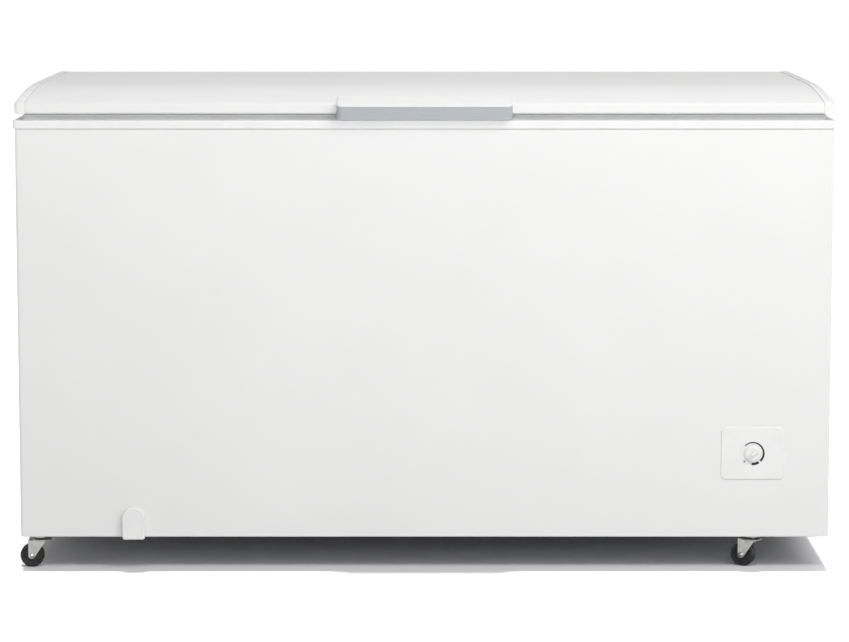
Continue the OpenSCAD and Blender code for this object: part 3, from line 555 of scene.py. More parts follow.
def back_sheet():
    """Galvanised back, with three tall pressed fields."""
    keep("back_panel", sheet_zinc)
    high = (PANEL_TOP - BASE) / 2
    fields = []
    for i, x in enumerate((-0.5, -0.16, 0.18)):
        place = to_back(x, BASE + high - 30 * MM, BACK)
        fields.append(field(f"field_{i}", 140 * MM, high - 110 * MM, 30 * MM, 2.4 * MM, place))
    piece(join("back_panel_fields", fields), sheet_zinc, "cabinet", "galvanised_steel")


def underside():
    """Galvanised pan and tray, with ribs pressed down out of the pan."""
    keep("base_pan", sheet_zinc)
    keep("compressor_tray", sheet_zinc)
    down = Matrix(((1, 0, 0, 0), (0, -1, 0, 0), (0, 0, -1, BASE), (0, 0, 0, 1)))
    ribs = []
    for i, x in enumerate((-0.56, -0.32, -0.08, 0.16, 0.4)):
        place = Matrix.Translation((x, 0, 0)) @ down
        ribs.append(field(f"rib_{i}", 32 * MM, 230 * MM, 20 * MM, 1.5 * MM, place))
    piece(join("base_pan_ribs", ribs), sheet_zinc, "cabinet", "galvanised_steel")


def swept(name, half_w, half_d, corner, profile):
    """Closed profile of (inset, height) swept round a rectangle with round corners."""
    rings = []
    for inset, z in profile:
        plan = round_rect(half_w - inset, half_d - inset, corner - inset, 8)
        rings.append([(x, y, z) for x, y in plan])
    return loft(name, rings, loop=True)


def rim():
    """Moulded frame round the top of the cabinet."""
    low, top = rim_low.z, rim_high.z
    opening = 715.5 * MM  # half width of the hole in the frame
    inner = rim_high.x - opening
    soft, wall, skin = 2.2 * MM, 2.3 * MM, 3 * MM
    outside = arc(soft, top - soft, soft, 180, 90, 5)
    inside = arc(inner - soft, top - soft, soft, 90, 0, 5)
    steps = ((14, 0), (13, 1), (10, 1), (9, 0))
    groove = [(inner - across * MM, top - down * MM) for across, down in steps]
    profile = (
        [(3.6 * MM, low), (0.8 * MM, low), (0, low + 0.8 * MM)]
        + outside
        + groove
        + inside
        + [(inner, low), (inner - wall, low), (inner - wall, top - skin), (3.6 * MM, top - skin)]
    )
    obj = swept("top_frame_moulding", rim_high.x, rim_high.y, 8 * MM, profile)
    piece(obj, white_plastic, "cabinet", "white_plastic", "top_frame")


def liner():
    """Inner tank with round corners and a step over the compressor bay."""
    low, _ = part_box("inner_liner")
    wall = 1 * MM
    x, y = 718 * MM, 283 * MM  # half width and half depth of the tank
    floor = low.z + wall
    step_x, step_z = 420 * MM, 380 * MM  # where the step starts, and the height of its top
    top = rim_high.z - 4 * MM
    outline = [(-x, floor), (step_x, floor), (step_x, step_z), (x, step_z), (x, top), (-x, top)]
    bm = bmesh.new()
    front = [bm.verts.new((px, -y, pz)) for px, pz in outline]
    rear = [bm.verts.new((px, y, pz)) for px, pz in outline]
    bm.faces.new(front)
    bm.faces.new(rear[::-1])
    n = len(outline)
    for i in range(n):
        k = (i + 1) % n
        bm.faces.new((front[i], rear[i], rear[k], front[k]))
    inner = [e for e in bm.edges if not all(v.co.z > top - 1e-6 for v in e.verts)]
    bmesh.ops.bevel(bm, geom=inner, offset=11 * MM, segments=5, profile=0.5, affect="EDGES")
    mouth = [f for f in bm.faces if all(v.co.z > top - 1e-6 for v in f.verts)]
    bmesh.ops.delete(bm, geom=mouth, context="FACES_ONLY")
    mesh = bpy.data.meshes.new("liner_tank")
    bm.to_mesh(mesh)
    bm.free()
    shade(mesh)
    obj = link("liner_tank", mesh)
    thicken(obj, wall, 1)
    piece(obj, liner_white, "cabinet", "liner_plastic", "inner_liner")


def basket():
    """Welded wire basket that hangs on the frame."""
    low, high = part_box("basket")
    r, thin = 2.5 * MM, 1.5 * MM
    x0, x1 = low.x + r, high.x - r
    z0, z1 = low.z + r, high.z - 32 * MM
    half = 272 * MM  # half depth of the top ring
    soft, cup_r = 16 * MM, 12 * MM

    def ring(z):
        corners = [(x0, -half, z), (x1, -half, z), (x1, half, z), (x0, half, z)]
        return (bend(corners, soft, closed=True), True)

    heavy = [ring(z1), ring((z0 + z1) / 2)]
    light = []
    rows, columns = 20, 9
    left, right = x0 + r + thin, x1 - r - thin
    for i in range(1, rows):
        y = -half + 2 * half * i / rows
        if abs(y) > half - soft:
            continue
        cup = [(left, y, z1), (left, y, z0), (right, y, z0), (right, y, z1)]
        light.append((bend(cup, cup_r), False))
    end, floor = half - r - thin, z0 + 2 * thin
    for i in range(1, columns):
        x = x0 + (x1 - x0) * i / columns
        cup = [(x, -end, z1), (x, -end, floor), (x, end, floor), (x, end, z1)]
        light.append((bend(cup, cup_r), False))
    # a hook at each corner, up to the rail that slides on the frame
    rest_y, rest_z = high.y - 2 * MM, rim_high.z + 2.1 * MM
    hook_y, hook_z = half + 4.5 * MM, rest_z + 4 * MM
    for side in (-1, 1):
        for x in (x0 + 60 * MM, x1 - 60 * MM):
            hook = [(x, side * hook_y, z1 - 3 * MM), (x, side * hook_y, hook_z), (x, side * rest_y, hook_z)]
            heavy.append((bend(hook, 4 * MM), False))
        rail = [(x0 + 50 * MM, side * rest_y, rest_z), (x1 - 50 * MM, side * rest_y, rest_z)]
        heavy.append((rail, False))
    wires = [tube("heavy_wires", heavy, 2.2 * MM, 4), tube("light_wires", light, thin, 3)]
    piece(join("wire_basket", wires), wire_coat, "basket", "coated_wire", "basket")


def grille():
    """Moulded grille over the compressor bay, with two columns of slots and four screw holes."""
    cx, cz, w, h = middle_and_half("bay_grille")
    rows, margin = 13, 24 * MM
    slots = []
    for i in range(rows):
        z = -h + margin + (2 * h - 2 * margin) * i / (rows - 1)
        for x in (-w / 2 + 6 * MM, w / 2 - 6 * MM):
            slots.append(stadium(x, z, w / 2 - 18 * MM, 3 * MM))
    hole_x, hole_z = w - 4 * MM, h - 5 * MM
    screws = [stadium(x, z, 0, 2.6 * MM) for x in (-hole_x, hole_x) for z in (-hole_z, hole_z)]
    place = to_back(cx, cz, BACK + 0.1 * MM)
    face = plate("bay_grille_face", [round_rect(w, h, 6 * MM)] + slots + screws, 2.9 * MM, place)
    piece(face, white_plastic, "cabinet", "white_plastic", "bay_grille", edge=0.6 * MM)


def plain_nodes():
    """CAD nodes that keep their shape and take a material."""
    keep("foam_insulation", tan_foam)
    keep("evaporator_coil", bare_aluminium)
    keep("condenser_coil", enamel)
    keep("compressor", enamel)
    keep("compressor_grommets", rubber)
    keep("compressor_bolts", zinc)
    keep("terminal_cover", dark_plastic)
    for node in ("filter_drier", "discharge_tube", "suction_tube", "capillary_tube"):
        keep(node, copper)
    keep("cord_bushing", dark_plastic)
    keep("thermostat_body", grey_plastic)
    keep("thermostat_spindle", zinc)
    keep("drain_pipe", grey_plastic)
    keep("gasket_magnets", rubber)
    keep("hinge_pins", zinc)
    keep("cabinet_screws", zinc)
    keep("lid_screws", zinc)


# ---------- Dial and drain ----------


OFF = math.radians(225)  # where the dial points when the freezer is off


def control_plate(cx, cz, w, h):
    """Front plate round the dial, with a soft edge."""
    place = to_front(cx, cz, FRONT)
    edge = ((0, 0.05), (0, 1.7), (0.15, 2.2), (0.5, 2.65), (1.0, 2.9), (1.7, 3.0))
    rings = []
    for inset, up in edge:
        plan = round_rect(w - inset * MM, h - inset * MM, (10 - inset) * MM, 8)
        rings.append([place @ Vector((x, y, up * MM)) for x, y in plan])
    obj = loft("control_plate", rings, angle=50)
    piece(obj, white_plastic, "cabinet", "white_plastic", "control_panel")


def dial_scale(face):
    """Printed scale: an arc that widens towards cold, a short coldest stretch, and a dot for off."""
    radius, ink, steps = 20.9 * MM, 0.12 * MM, 40

    def stroke(name, a0, a1, wide0, wide1):
        """Printed arc, clockwise from a0 to a1, that widens from wide0 to wide1."""
        outer, inner = [], []
        for i in range(steps + 1):
            t = i / steps
            a = math.radians(a0 + (a1 - a0) * t)
            half = (wide0 + (wide1 - wide0) * t) / 2
            outer.append(((radius + half) * math.cos(a), (radius + half) * math.sin(a)))
            inner.append(((radius - half) * math.cos(a), (radius - half) * math.sin(a)))
        return plate(name, [outer + inner[::-1]], ink, face)

    dot_r = 23 * MM
    dot = stadium(dot_r * math.cos(OFF), dot_r * math.sin(OFF), 0, 1.6 * MM, 8)
    strokes = [
        stroke("cold_scale", 138, -46, 1.9 * MM, 4.3 * MM),
        stroke("coldest_scale", -56, -96, 4.6 * MM, 4.9 * MM),
        plate("off_dot", [dot], ink, face),
    ]
    piece(join("dial_scale", strokes), print_ink, "cabinet", "black_plastic")


def dial_knob(place):
    """Round dial with a grip bar that points at the off dot, and tapers to that end."""
    r, soft, step = 16 * MM, 1.6 * MM, 6.2 * MM
    profile = [(0, 0), (r - 0.4 * MM, 0), (r, 0.4 * MM), (r, 3.4 * MM)]
    profile += arc(r - soft, 3.4 * MM, soft, 0, 90, 5)
    profile += [(r - 2.4 * MM, 5.0 * MM), (r - 3.2 * MM, 5.9 * MM), (r - 4 * MM, step), (0.01 * MM, step)]
    body = lathe("knob_body", profile, place, 64)
    turn = place @ Matrix.Rotation(OFF, 4, "Z")
    top = 10.7 * MM
    levels = [(0, 5.6 * MM), (0.2 * MM, 9 * MM), (1.0 * MM, 10.3 * MM), (2.1 * MM, top)]
    rings = []
    for inset, z in levels:
        tip, tail = 12.6 * MM - inset, -12.2 * MM + inset
        wide, slim = 4.6 * MM - inset, 3.0 * MM - inset
        plan = arc(tip - slim, 0, slim, -90, 90, 8) + arc(tail + wide, 0, wide, 90, 270, 8)
        rings.append([turn @ Vector((x, y, z)) for x, y in plan])
    grip = loft("knob_grip", rings)
    piece(join("dial_knob", [body, grip]), white_plastic, "dial", "white_plastic", "thermostat_knob")
    start, stop, half = 2 * MM, 10.5 * MM, 0.45 * MM
    mark = [(start, -half), (stop, -half), (stop, half), (start, half)]
    pointer = plate("knob_pointer", [mark], 0.1 * MM, turn @ Matrix.Translation((0, 0, top)))
    piece(pointer, handle_grey, "dial", "grey_plastic")


def dial():
    """The thermostat's front plate, its printed scale and its dial."""
    cx, cz, w, h = middle_and_half("control_panel")
    face_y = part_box("control_panel")[0].y
    control_plate(cx, cz, w, h)
    dial_scale(to_front(cx, cz, face_y))
    dial_knob(to_front(cx, cz, face_y - 0.5 * MM))


def drain_cover():
    """Cap over the drain's front end: round at the top, nearly square at the foot, with a soft edge."""
    low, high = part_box("drain_cap")
    cx = (low.x + high.x) / 2
    w = (high.x - low.x) / 2
    deep = FRONT - low.y

    def outline(inset):
        a = w - inset
        foot = low.z + inset
        r = max(4 * MM - inset, 0.6 * MM)
        side = a - 0.8 * MM - r
        lower = arc(cx - side, foot + r, r, 180, 270, 5) + arc(cx + side, foot + r, r, 270, 360, 5)
        return arc(cx, high.z - w, a, 0, 180, 20) + lower

    soft = 3 * MM
    steps = [(0, 0.05 * MM), (0, deep - soft)]
    for i in range(1, 6):
        a = math.radians(18 * i)
        steps.append((soft - soft * math.cos(a), deep - soft + soft * math.sin(a)))
    # the face dips a little inside its edge
    steps += [(soft + 0.8 * MM, deep - 0.1 * MM), (soft + 2 * MM, deep - 0.6 * MM)]
    rings = [[(x, FRONT - out, z) for x, z in outline(inset)] for inset, out in steps]
    obj = loft("drain_cover", rings, angle=40)
    piece(obj, white_plastic, "drain_cap", "white_plastic", "drain_cap")


def drain_stopper():
    """Rubber plug in the tank's floor, with a loop to pull it by."""
    low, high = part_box("drain_plug")
    x, y = (low.x + high.x) / 2, (low.y + high.y) / 2
    flange = low.z + 12 * MM
    stem, rim_r, soft, centre = 6.2 * MM, 15 * MM, 2 * MM, 0.01 * MM
    profile = [(centre, low.z), (5.4 * MM, low.z), (stem, low.z + 1.5 * MM), (stem, flange)]
    profile += [(rim_r, flange), (rim_r, flange + soft)]
    profile += arc(rim_r - soft, flange + soft, soft, 0, 90, 4)
    profile += [(centre, flange + 2 * soft)]
    plug = lathe("plug_body", profile, Matrix.Translation((x, y, 0)), 40)
    half, foot, top = 7 * MM, flange + 3 * MM, flange + 17 * MM
    loop = [(x - half, y, foot), (x - half, y, top), (x + half, y, top), (x + half, y, foot)]
    ring = tube("plug_loop", [(bend(loop, 6.5 * MM, 8), False)], 1.8 * MM)
    piece(join("drain_stopper", [plug, ring]), rubber, "drain_plug", "rubber", "drain_plug")


# ---------- Lid ----------


def lid_profile(top, inset=0.0, bottom=LID_LOW, rear_r=5 * MM):
    """Closed outline in (y, z) of the lid, offset inwards by inset on its front, top and back."""
    crease = math.radians(CREASE)
    cy, cz = CROWN_Y + CROWN_R * math.sin(crease), top - CROWN_R * math.cos(crease)
    ny = FRONT + NOSE_R
    reach = CROWN_R - NOSE_R
    nz = cz + math.sqrt(reach**2 - (cy - ny) ** 2)
    tangent = math.degrees(math.atan2(nz - cz, ny - cy))
    nose = arc(ny, nz, max(NOSE_R - inset, 0.3 * MM), 180, tangent, 8)
    crown = arc(cy, cz, CROWN_R - inset, tangent, 90 + CREASE, 24)
    rear = arc(BACK - rear_r, top - rear_r, max(rear_r - inset, 0.3 * MM), 90, 0, 5)
    return [(FRONT + inset, bottom)] + nose + crown + rear + [(BACK - inset, bottom)]


def lid_sheet():
    """Painted sheet over the lid, and the foam under it."""
    x = HALF_W - CAP_W - 0.2 * MM
    profile = lid_profile(LID_TOP - SKIN_DROP, 0, LID_LOW + 1.6 * MM)
    rings = [[(sx, y, z) for y, z in profile] for sx in (-x, x)]
    obj = loft("lid_sheet", rings)
    piece(obj, lid_paint, "lid", "white_steel", "lid_skin", edge=0.9 * MM)
    low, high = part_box("lid_foam")
    under = lid_profile(LID_TOP - SKIN_DROP - 1 * MM, 1 * MM, low.z)
    core = loft("lid_core", [[(sx, y, z) for y, z in under] for sx in (low.x, high.x)])
    piece(core, tan_foam, "lid", "foam", "lid_foam")


def lid_end(name, side, node):
    """Moulded end of the lid: a round outer edge and a thin step down to the sheet."""
    soft = 7 * MM
    # (distance from the outside, inset), from the outer face inwards
    steps = []
    for i in range(7):
        a = math.radians(15 * i)
        steps.append((soft - soft * math.cos(a), soft - soft * math.sin(a)))
    groove = ((10.6, 0), (10.8, 0.45), (11.5, 0.45), (11.7, 0))
    steps += [(away * MM, inset * MM) for away, inset in groove]
    steps += [(CAP_W - 1.0 * MM, 0), (CAP_W - 0.3 * MM, 0.3 * MM), (CAP_W, 0.9 * MM), (CAP_W, 4 * MM)]
    rings = []
    for away, inset in steps:
        x = side * (HALF_W - away)
        bottom = LID_LOW + min(inset, 1.2 * MM)
        rings.append([(x, y, z) for y, z in lid_profile(LID_TOP, inset, bottom, 7.5 * MM)])
    obj = loft(name, rings, angle=25)
    piece(obj, white_plastic, "lid", "white_plastic", node)


def lid_pan():
    """Inner panel of the lid, with its plug and a pressed channel."""
    low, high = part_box("lid_inner_panel")
    w, d = high.x, high.y
    plug_w, plug_d = 690 * MM, 255 * MM
    flat = LID_LOW
    depth = flat - low.z
    rings = [(w, d, 3 * MM, flat + 1.4 * MM), (w, d, 3 * MM, flat)]
    # (inset in mm, share of the plug's depth in twentieths)
    slope = [(0, 0), (2, 1.5), (4, 4.5), (11, 15.5), (13, 18.5), (16, 20)]
    for inset, drop in slope:
        z = flat - depth * drop / 20
        rings.append((plug_w - inset * MM, plug_d - inset * MM, 30 * MM, z))
    channel = ((44, 0), (48, 1), (52, 4), (56, 5), (80, 5), (84, 4), (88, 1), (92, 0))
    for inset, rise in channel:
        rings.append((plug_w - inset * MM, plug_d - inset * MM, 26 * MM, low.z + rise * MM))
    loops = [[(x, y, z) for x, y in round_rect(a, b, r, 8)] for a, b, r, z in rings]
    obj = loft("lid_pan", loops, caps=(False, True))
    piece(obj, liner_white, "lid", "liner_plastic", "lid_inner_panel")
    filling = ((20, flat + 1.4 * MM), (22, flat), (32, low.z + 9 * MM), (36, low.z + 7 * MM))
    layers = []
    for inset, z in filling:
        plan = round_rect(plug_w - inset * MM, plug_d - inset * MM, 20 * MM, 8)
        layers.append([(x, y, z) for x, y in plan])
    piece(loft("lid_plug_core", layers), tan_foam, "lid", "foam", "lid_plug_foam")


def gasket():
    """Magnetic gasket: a neck at the lid, a flat face with two fine grooves, and a foot on the frame."""
    low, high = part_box("lid_gasket")
    foot, top = low.z, high.z
    profile = [
        (7, top), (6.6, top - 1.2 * MM), (4.4, top - 1.8 * MM), (3.6, top - 2.6 * MM), (3.4, top - 5 * MM),
        (4, top - 5.5 * MM), (3.4, top - 6 * MM), (3.1, top - 8.4 * MM), (3.7, top - 8.9 * MM),
        (3, top - 9.4 * MM), (2.8, foot + 0.9 * MM), (3.4, foot), (13.4, foot), (14, foot + 1 * MM),
        (13.8, top - 8 * MM), (11.5, top - 6.5 * MM), (13, top - 4 * MM), (12.4, top),
    ]
    obj = swept("door_gasket", high.x, high.y, 7 * MM, [(i * MM, z) for i, z in profile])
    piece(obj, gasket_grey, "lid", "gasket_vinyl", "lid_gasket")


def handle():
    """Pull handle: a grey ribbed grip under a white cover. Returns the two."""
    grip_low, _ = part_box("handle_grip")
    cover_low, cover_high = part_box("handle_cover")
    w = cover_high.x
    y0, y1 = cover_low.y, cover_high.y
    soft = 12 * MM  # radius of the front corners, seen from above
    slope = 0.148  # rise of the cover's top for each metre towards the back
    thick = 3.6 * MM
    front_z = LID_TOP - 24 * MM

    def top_z(y):
        return front_z + (y - y0) * slope

    def front_corners(inset):
        r = soft - inset
        x = w - inset - r
        return arc(-x, y0 + inset + r, r, 180, 270, 10) + arc(x, y0 + inset + r, r, 270, 360, 10)

    def cover_plan(inset):
        small = 2.5 * MM
        x, y = w - inset - small, y1 - inset - small
        return front_corners(inset) + arc(x, y, small, 0, 90, 4) + arc(-x, y, small, 90, 180, 4)

    def grip_plan(inset, back):
        return front_corners(inset) + [(w - inset, back), (inset - w, back)]

    # the cover's (inset, height) in mm, up its side and round its lip
    levels = [(0.3, -3.6), (0, -3.3), (0, -3)]
    lip_r = 3
    for i in range(1, 7):
        a = math.radians(15 * i)
        levels.append((lip_r - lip_r * math.cos(a), -lip_r + lip_r * math.sin(a)))
    rings = []
    for inset, drop in levels:
        rings.append([(x, y, top_z(y) + drop * MM) for x, y in cover_plan(inset * MM)])
    top = loft("handle_top", rings, angle=40)
    cover = piece(top, cover_white, "lid", "white_plastic", "handle_cover")

    low, rear = grip_low.z, FRONT - 0.05 * MM
    ceiling = LID_LOW + 11 * MM
    lip, groove, turn, wall = 0.25 * MM, 0.5 * MM, 1.6 * MM, 3.5 * MM
    rings = [[(x, y, top_z(y) - thick - 0.1 * MM) for x, y in grip_plan(lip, rear)]]
    ribs = 6
    first = top_z(y0) - thick - 1.6 * MM
    pitch = (first - low - 2 * MM) / ribs
    notch = ((1 * MM, lip), (0.6 * MM, lip + groove), (-0.6 * MM, lip + groove), (-1 * MM, lip))
    for i in range(ribs):
        z = first - (i + 0.5) * pitch
        for up, inset in notch:
            rings.append([(x, y, z + up) for x, y in grip_plan(inset, rear)])
    for i in range(5):
        a = math.radians(22.5 * i)
        inset = lip + turn * (1 - math.cos(a))
        z = low + turn * (1 - math.sin(a))
        rings.append([(x, y, z) for x, y in grip_plan(inset, rear)])
    # back up inside the grip, to the ceiling of the finger space
    inside = (
        (wall - 0.6 * MM, rear - 2.6 * MM, low),
        (wall, rear - 3 * MM, low + 0.6 * MM),
        (wall + 0.8 * MM, rear - 3 * MM, ceiling),
    )
    for inset, back, z in inside:
        rings.append([(x, y, z) for x, y in grip_plan(inset, back)])
    shell = loft("handle_grip_shell", rings, angle=30)
    grip = piece(shell, handle_grey, "lid", "grey_plastic", "handle_grip")
    return cover, grip


# ---------- Hinges ----------


def hinges():
    """Spring hinges: CAD leaves and bases, with coils on the cabinet and their upper arms on the lid."""
    keep("hinge_bases", zinc)
    keep("hinge_leaves", zinc)
    pin_low, pin_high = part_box("hinge_pins")
    low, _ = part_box("hinge_springs")
    _, leaf_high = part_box("hinge_leaves")
    py, pz = (pin_low.y + pin_high.y) / 2, (pin_low.z + pin_high.z) / 2
    wire_r, r, half = 1.5 * MM, 9 * MM, 16 * MM
    middle = leaf_high.x - 27 * MM
    coils, arms = [], []
    turns, steps = 9, 24
    for side in (-1, 1):
        x0, x1 = side * middle - half, side * middle + half
        y = py - r
        points = [(x0, y, low.z + 2 * MM), (x0, y, pz - 10 * MM)]
        for i in range(turns * steps + 1):
            a = math.radians(180 - 360 * i / steps)
            x = x0 + (x1 - x0) * i / (turns * steps)
            points.append((x, py + r * math.cos(a), pz + r * math.sin(a)))
        coils.append((points, False))
        tip = (x1, py - 12 * MM, leaf_high.z - 10 * MM)
        arm = [(x1, y, pz - 1 * MM), (x1, y, pz + 12 * MM), tip]
        arms.append((bend(arm, 5 * MM), False))
    coil = tube("hinge_spring_coils", coils, wire_r)
    piece(coil, spring_wire, "cabinet", "spring_steel", "hinge_springs")
    piece(tube("hinge_spring_arms", arms, wire_r), spring_wire, "lid", "spring_steel")


# ---------- Casters ----------


LEG_Y, STEEL = 12.2 * MM, 2.4 * MM  # the fork's legs: distance from its middle, and thickness
FORK_TOP = 55.5 * MM


def caster_wheel(tag, spin):
    """Wheel with a stepped hub and a round tread, turned round the local Z of spin."""
    low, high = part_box("caster_wheel_" + tag)
    r = (high.z - low.z) / 2 / MM
    half, soft = 9, 2.6
    # (radius, half width) in mm, from the bore outwards
    hub = [
        (3.1, 10), (7.6, 10), (8.2, 9.5), (8.6, 7.2), (10.4, 6.6), (11.2, 6.9), (12.0, 6.6), (14.2, 6.6),
        (15.0, 7.2), (15.5, 8.6), (16.1, 9.0), (17.2, 9.0), (17.6, 8.5), (18.4, 8.5), (18.8, 9.0),
    ]
    flank = hub + arc(r - soft, half - soft, soft, 90, 0, 5)
    profile = flank + [(a, -b) for a, b in flank[::-1]]
    wheel = lathe("wheel_" + tag, [(a * MM, b * MM) for a, b in profile], spin, 72, angle=30)
    piece(wheel, wheel_nylon, "wheel_" + tag, "black_nylon", "caster_wheel_" + tag)


def caster_fork(tag, here, trail, axle_z):
    """Two legs, the web that joins them, and the turned crown above it."""
    heel_r = 6.4 * MM
    nose = 8 * MM
    outline = [(-trail - heel_r, FORK_TOP)]
    outline += arc(-trail, axle_z, heel_r, 180, 318, 10)
    outline += [(nose, FORK_TOP - 5 * MM), (nose, FORK_TOP)]
    hole = stadium(-trail, axle_z, 0, 3 * MM, 8)
    parts = []
    for side in (-1, 1):
        upright = Matrix(((1, 0, 0, 0), (0, 0, -1, side * LEG_Y + STEEL / 2), (0, 1, 0, 0), (0, 0, 0, 1)))
        parts.append(plate("leg", [outline, hole], STEEL, here @ upright))
    web = [(x - 8 * MM, y) for x, y in round_rect(16.4 * MM, LEG_Y + STEEL / 2, 3 * MM)]
    pin_hole = stadium(0, 0, 0, 7 * MM, 10)
    parts.append(plate("web", [web, pin_hole], STEEL, here @ Matrix.Translation((0, 0, FORK_TOP - STEEL))))
    inner, outer, up = 7 * MM, 20.5 * MM, 1.2 * MM
    disc = [(inner, FORK_TOP - STEEL), (19 * MM, FORK_TOP - STEEL), (outer, FORK_TOP - up)]
    disc += [(outer, FORK_TOP + 0.2 * MM), (16 * MM, FORK_TOP + up), (inner, FORK_TOP + up)]
    parts.append(lathe("crown", disc, here, 48))
    fork = join("fork_" + tag, parts)
    piece(fork, zinc, "caster_" + tag, "plated_steel", "caster_fork_" + tag, edge=0.45 * MM, segments=2)


def caster_axle(tag, spin):
    """Rod through the wheel, with a domed head on each leg."""
    out = LEG_Y + STEEL / 2
    dome = [(0.01, 0), (5.2, 0), (5.2, 1.4)] + arc(0.01, -2.2, 6.4, 34, 90, 5)
    near_end = spin @ Matrix.Translation((0, 0, out))
    far_end = spin @ Matrix.Translation((0, 0, -out)) @ Matrix.Rotation(math.pi, 4, "X")
    parts = [lathe("head", [(a * MM, b * MM) for a, b in dome], end, 32) for end in (near_end, far_end)]
    rod = [(0.01 * MM, -out), (3 * MM, -out), (3 * MM, out), (0.01 * MM, out)]
    parts.append(lathe("rod", rod, spin, 32))
    piece(join("axle_" + tag, parts), zinc, "caster_" + tag, "plated_steel", "caster_axle_" + tag)


def caster_plate(tag, swivel):
    """Top plate, race and kingpin, which stay with the cabinet. Returns the three."""
    thick = 2.5 * MM
    holes = [stadium(x, y, 0, 2.5 * MM) for x in (-24 * MM, 24 * MM) for y in (-18 * MM, 18 * MM)]
    flat = Matrix.Translation((swivel.x, swivel.y, BASE - thick))
    base = plate("flat_" + tag, [round_rect(30 * MM, 24 * MM, 5 * MM)] + holes, thick, flat)
    # (radius, height) in mm
    race = [(5, 66), (19.5, 66), (19.5, 61.5), (18.5, 59.8), (12, 58.6), (5, 58.4)]
    pin = [(0.01, 60), (5, 60), (5, 50.2), (8, 50.2), (8, 48.8), (6.4, 47.4), (0.01, 47)]
    upright = Matrix.Translation((swivel.x, swivel.y, 0))
    turned = []
    for name, profile in (("race", race), ("pin", pin)):
        turned.append(lathe(name, [(a * MM, b * MM) for a, b in profile], upright, 48))
    return [base] + turned


def caster(tag):
    """One caster, at the place and heading of its joints. Returns the parts of its top plate."""
    joints = {j["name"]: j for j in frame["joints"]}
    swivel = Vector(joints["swivel_" + tag]["pos_m"])
    axle = Vector(joints["roll_" + tag]["pos_m"])
    back = Vector((axle.x - swivel.x, axle.y - swivel.y, 0))
    trail = back.length
    heading = math.atan2(-back.y, -back.x)
    # local X runs forward from the axle to the swivel, and Y along the axle
    here = Matrix.Translation((swivel.x, swivel.y, 0)) @ Matrix.Rotation(heading, 4, "Z")
    # spin's local Z is the axle
    spin = here @ Matrix.Translation((-trail, 0, axle.z)) @ Matrix.Rotation(math.radians(-90), 4, "X")
    caster_wheel(tag, spin)
    caster_fork(tag, here, trail, axle.z)
    caster_axle(tag, spin)
    return caster_plate(tag, swivel)


def casters():
    parts = []
    for tag in ("front_left", "front_right", "rear_left", "rear_right"):
        parts += caster(tag)
    plates = join("caster_top_plates", parts)
    piece(plates, zinc, "cabinet", "plated_steel", "caster_plates", edge=0.4 * MM, segments=2)


# ---------- Stage ----------


def camera():
    """In front of the middle, tilted a little down, with a small shift for the framing."""
    data = bpy.data.cameras.new("camera")
    obj = link("camera", data)
    data.lens = 122.84
    data.sensor_width = 36
    data.shift_y = -0.1
    obj.location = (0, -5.8418, 1.2754)
    obj.rotation_euler = (math.radians(90 - 6.466), 0, 0)
    data.clip_end = 100
    bpy.context.scene.camera = obj


def lamp(name, kind, place, aim, energy, size):
    """Lamp at place that points at aim. size is an area's sides in metres, or a sun's angle."""
    data = bpy.data.lights.new(name, kind)
    data.energy = energy
    if kind == "AREA":
        data.shape = "RECTANGLE"
        data.size, data.size_y = size
    else:
        data.angle = size
    obj = link(name, data)
    obj.location = place
    obj.rotation_euler = (Vector(aim) - Vector(place)).to_track_quat("-Z", "Y").to_euler()
    return obj


# Strength of the dome: everywhere, and what it gains high at the back
DOME, BACK_GAIN = 0.22, 2.0
# Strength of the floor's sun, then watts
SUN, KEY, FILL, STRIP, FRONT_LIGHT, SIDE = 3.6, 63, 6, 64, 31, 30


def world():
    """White behind the object, and a soft dome that lights it, with a bright patch high at the back."""
    scene = bpy.context.scene
    scene.world = bpy.data.worlds.new("studio")
    scene.world.use_nodes = True
    tree = scene.world.node_tree
    tree.nodes.clear()
    link_up = tree.links.new
    backdrop = tree.nodes.new("ShaderNodeBackground")
    backdrop.inputs["Color"].default_value = (1, 1, 1, 1)
    dome = tree.nodes.new("ShaderNodeBackground")
    coords = tree.nodes.new("ShaderNodeTexCoord")
    towards = tree.nodes.new("ShaderNodeVectorMath")
    towards.operation = "DOT_PRODUCT"
    towards.inputs[1].default_value = (0, 0.707, 0.707)
    link_up(coords.outputs["Generated"], towards.inputs[0])
    patch = tree.nodes.new("ShaderNodeMapRange")
    for socket, number in (("From Min", 0.75), ("To Min", DOME), ("To Max", DOME + BACK_GAIN)):
        patch.inputs[socket].default_value = number
    link_up(towards.outputs["Value"], patch.inputs["Value"])
    link_up(patch.outputs["Result"], dome.inputs["Strength"])
    mix = tree.nodes.new("ShaderNodeMixShader")
    out = tree.nodes.new("ShaderNodeOutputWorld")
    link_up(tree.nodes.new("ShaderNodeLightPath").outputs["Is Camera Ray"], mix.inputs["Fac"])
    link_up(dome.outputs["Background"], mix.inputs[1])
    link_up(backdrop.outputs["Background"], mix.inputs[2])
    link_up(mix.outputs["Shader"], out.inputs["Surface"])


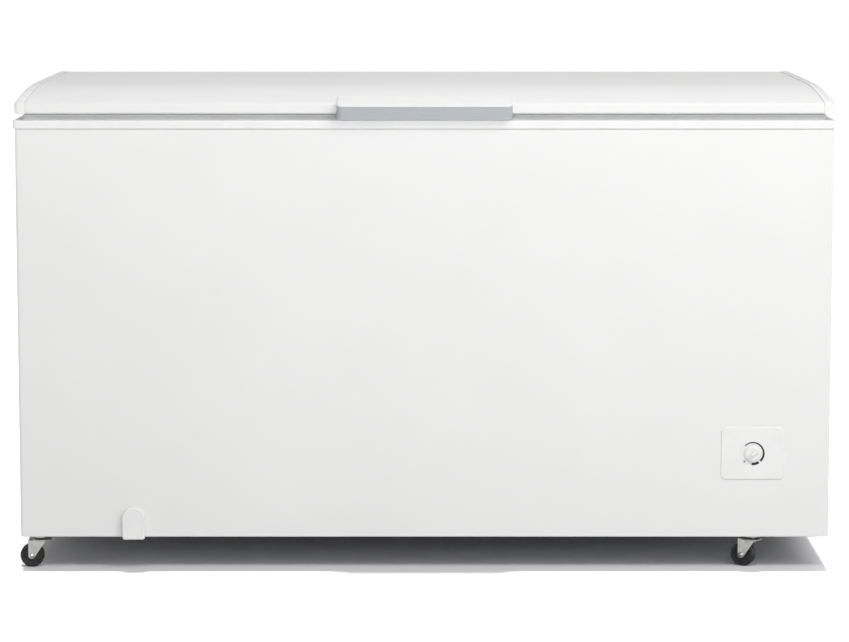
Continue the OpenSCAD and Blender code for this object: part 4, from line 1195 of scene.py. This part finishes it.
def all_but(name, objs):
    """Collection that tells a lamp to leave these objects out."""
    group = bpy.data.collections.new(name)
    for obj in objs:
        group.objects.link(obj)
    for entry in group.collection_objects:
        entry.light_linking.link_state = "EXCLUDE"
    return group


def stage(handle_parts):
    """Floor, lights and background."""
    half = 12
    corners = [(-half, -half, 0), (half, -half, 0), (half, half, 0), (-half, half, 0)]
    floor = make("floor", corners, [(0, 1, 2, 3)])
    floor.data.materials.append(floor_surface())
    only_floor = bpy.data.collections.new("floor_light")
    only_floor.objects.link(floor)
    sun = lamp("floor_sun", "SUN", (0, 0, 5), (0, 0, 0), SUN, math.radians(3))
    sun.light_linking.receiver_collection = only_floor
    lamp("key", "AREA", (2.5, -3.1, 3.0), (0.1, -0.3, 0.7), KEY, (2.4, 2.4))
    strip = lamp("strip", "AREA", (0.3, -3.0, 3.4), (0, -0.35, 0.7), STRIP, (3.0, 0.8))
    lamp("fill", "AREA", (-3.4, -3.6, 1.4), (0, -0.3, 0.5), FILL, (2.5, 2.5))
    lamp("front", "AREA", (0.3, -4.6, 1.35), (0, -0.35, 0.7), FRONT_LIGHT, (4.0, 1.2))
    # the strip passes the handle, which leaves only a faint shade under it
    strip.light_linking.blocker_collection = all_but("no_handle_shadow", handle_parts)
    # the sides have their own lamps, which miss the front and the floor
    for name, x in (("left_side", -4.5), ("right_side", 4.5)):
        side = lamp(name, "AREA", (x, 0.5, 0.9), (0, 0.3, 0.6), SIDE, (2.4, 1.6))
        side.light_linking.receiver_collection = all_but(name + "_reach", [floor])
    world()
    bpy.context.scene.view_settings.view_transform = "Standard"


# ---------- Build ----------

camera()
front_sheet()
side_sheet("side_sheet_left", -1, "left_side_panel")
side_sheet("side_sheet_right", 1, "right_side_panel")
back_sheet()
underside()
rim()
liner()
basket()
grille()
plain_nodes()
dial()
drain_cover()
drain_stopper()
lid_sheet()
lid_end("lid_end_left", -1, "lid_end_cap_left")
lid_end("lid_end_right", 1, "lid_end_cap_right")
lid_pan()
gasket()
handle_parts = handle()
hinges()
casters()
stage(handle_parts)
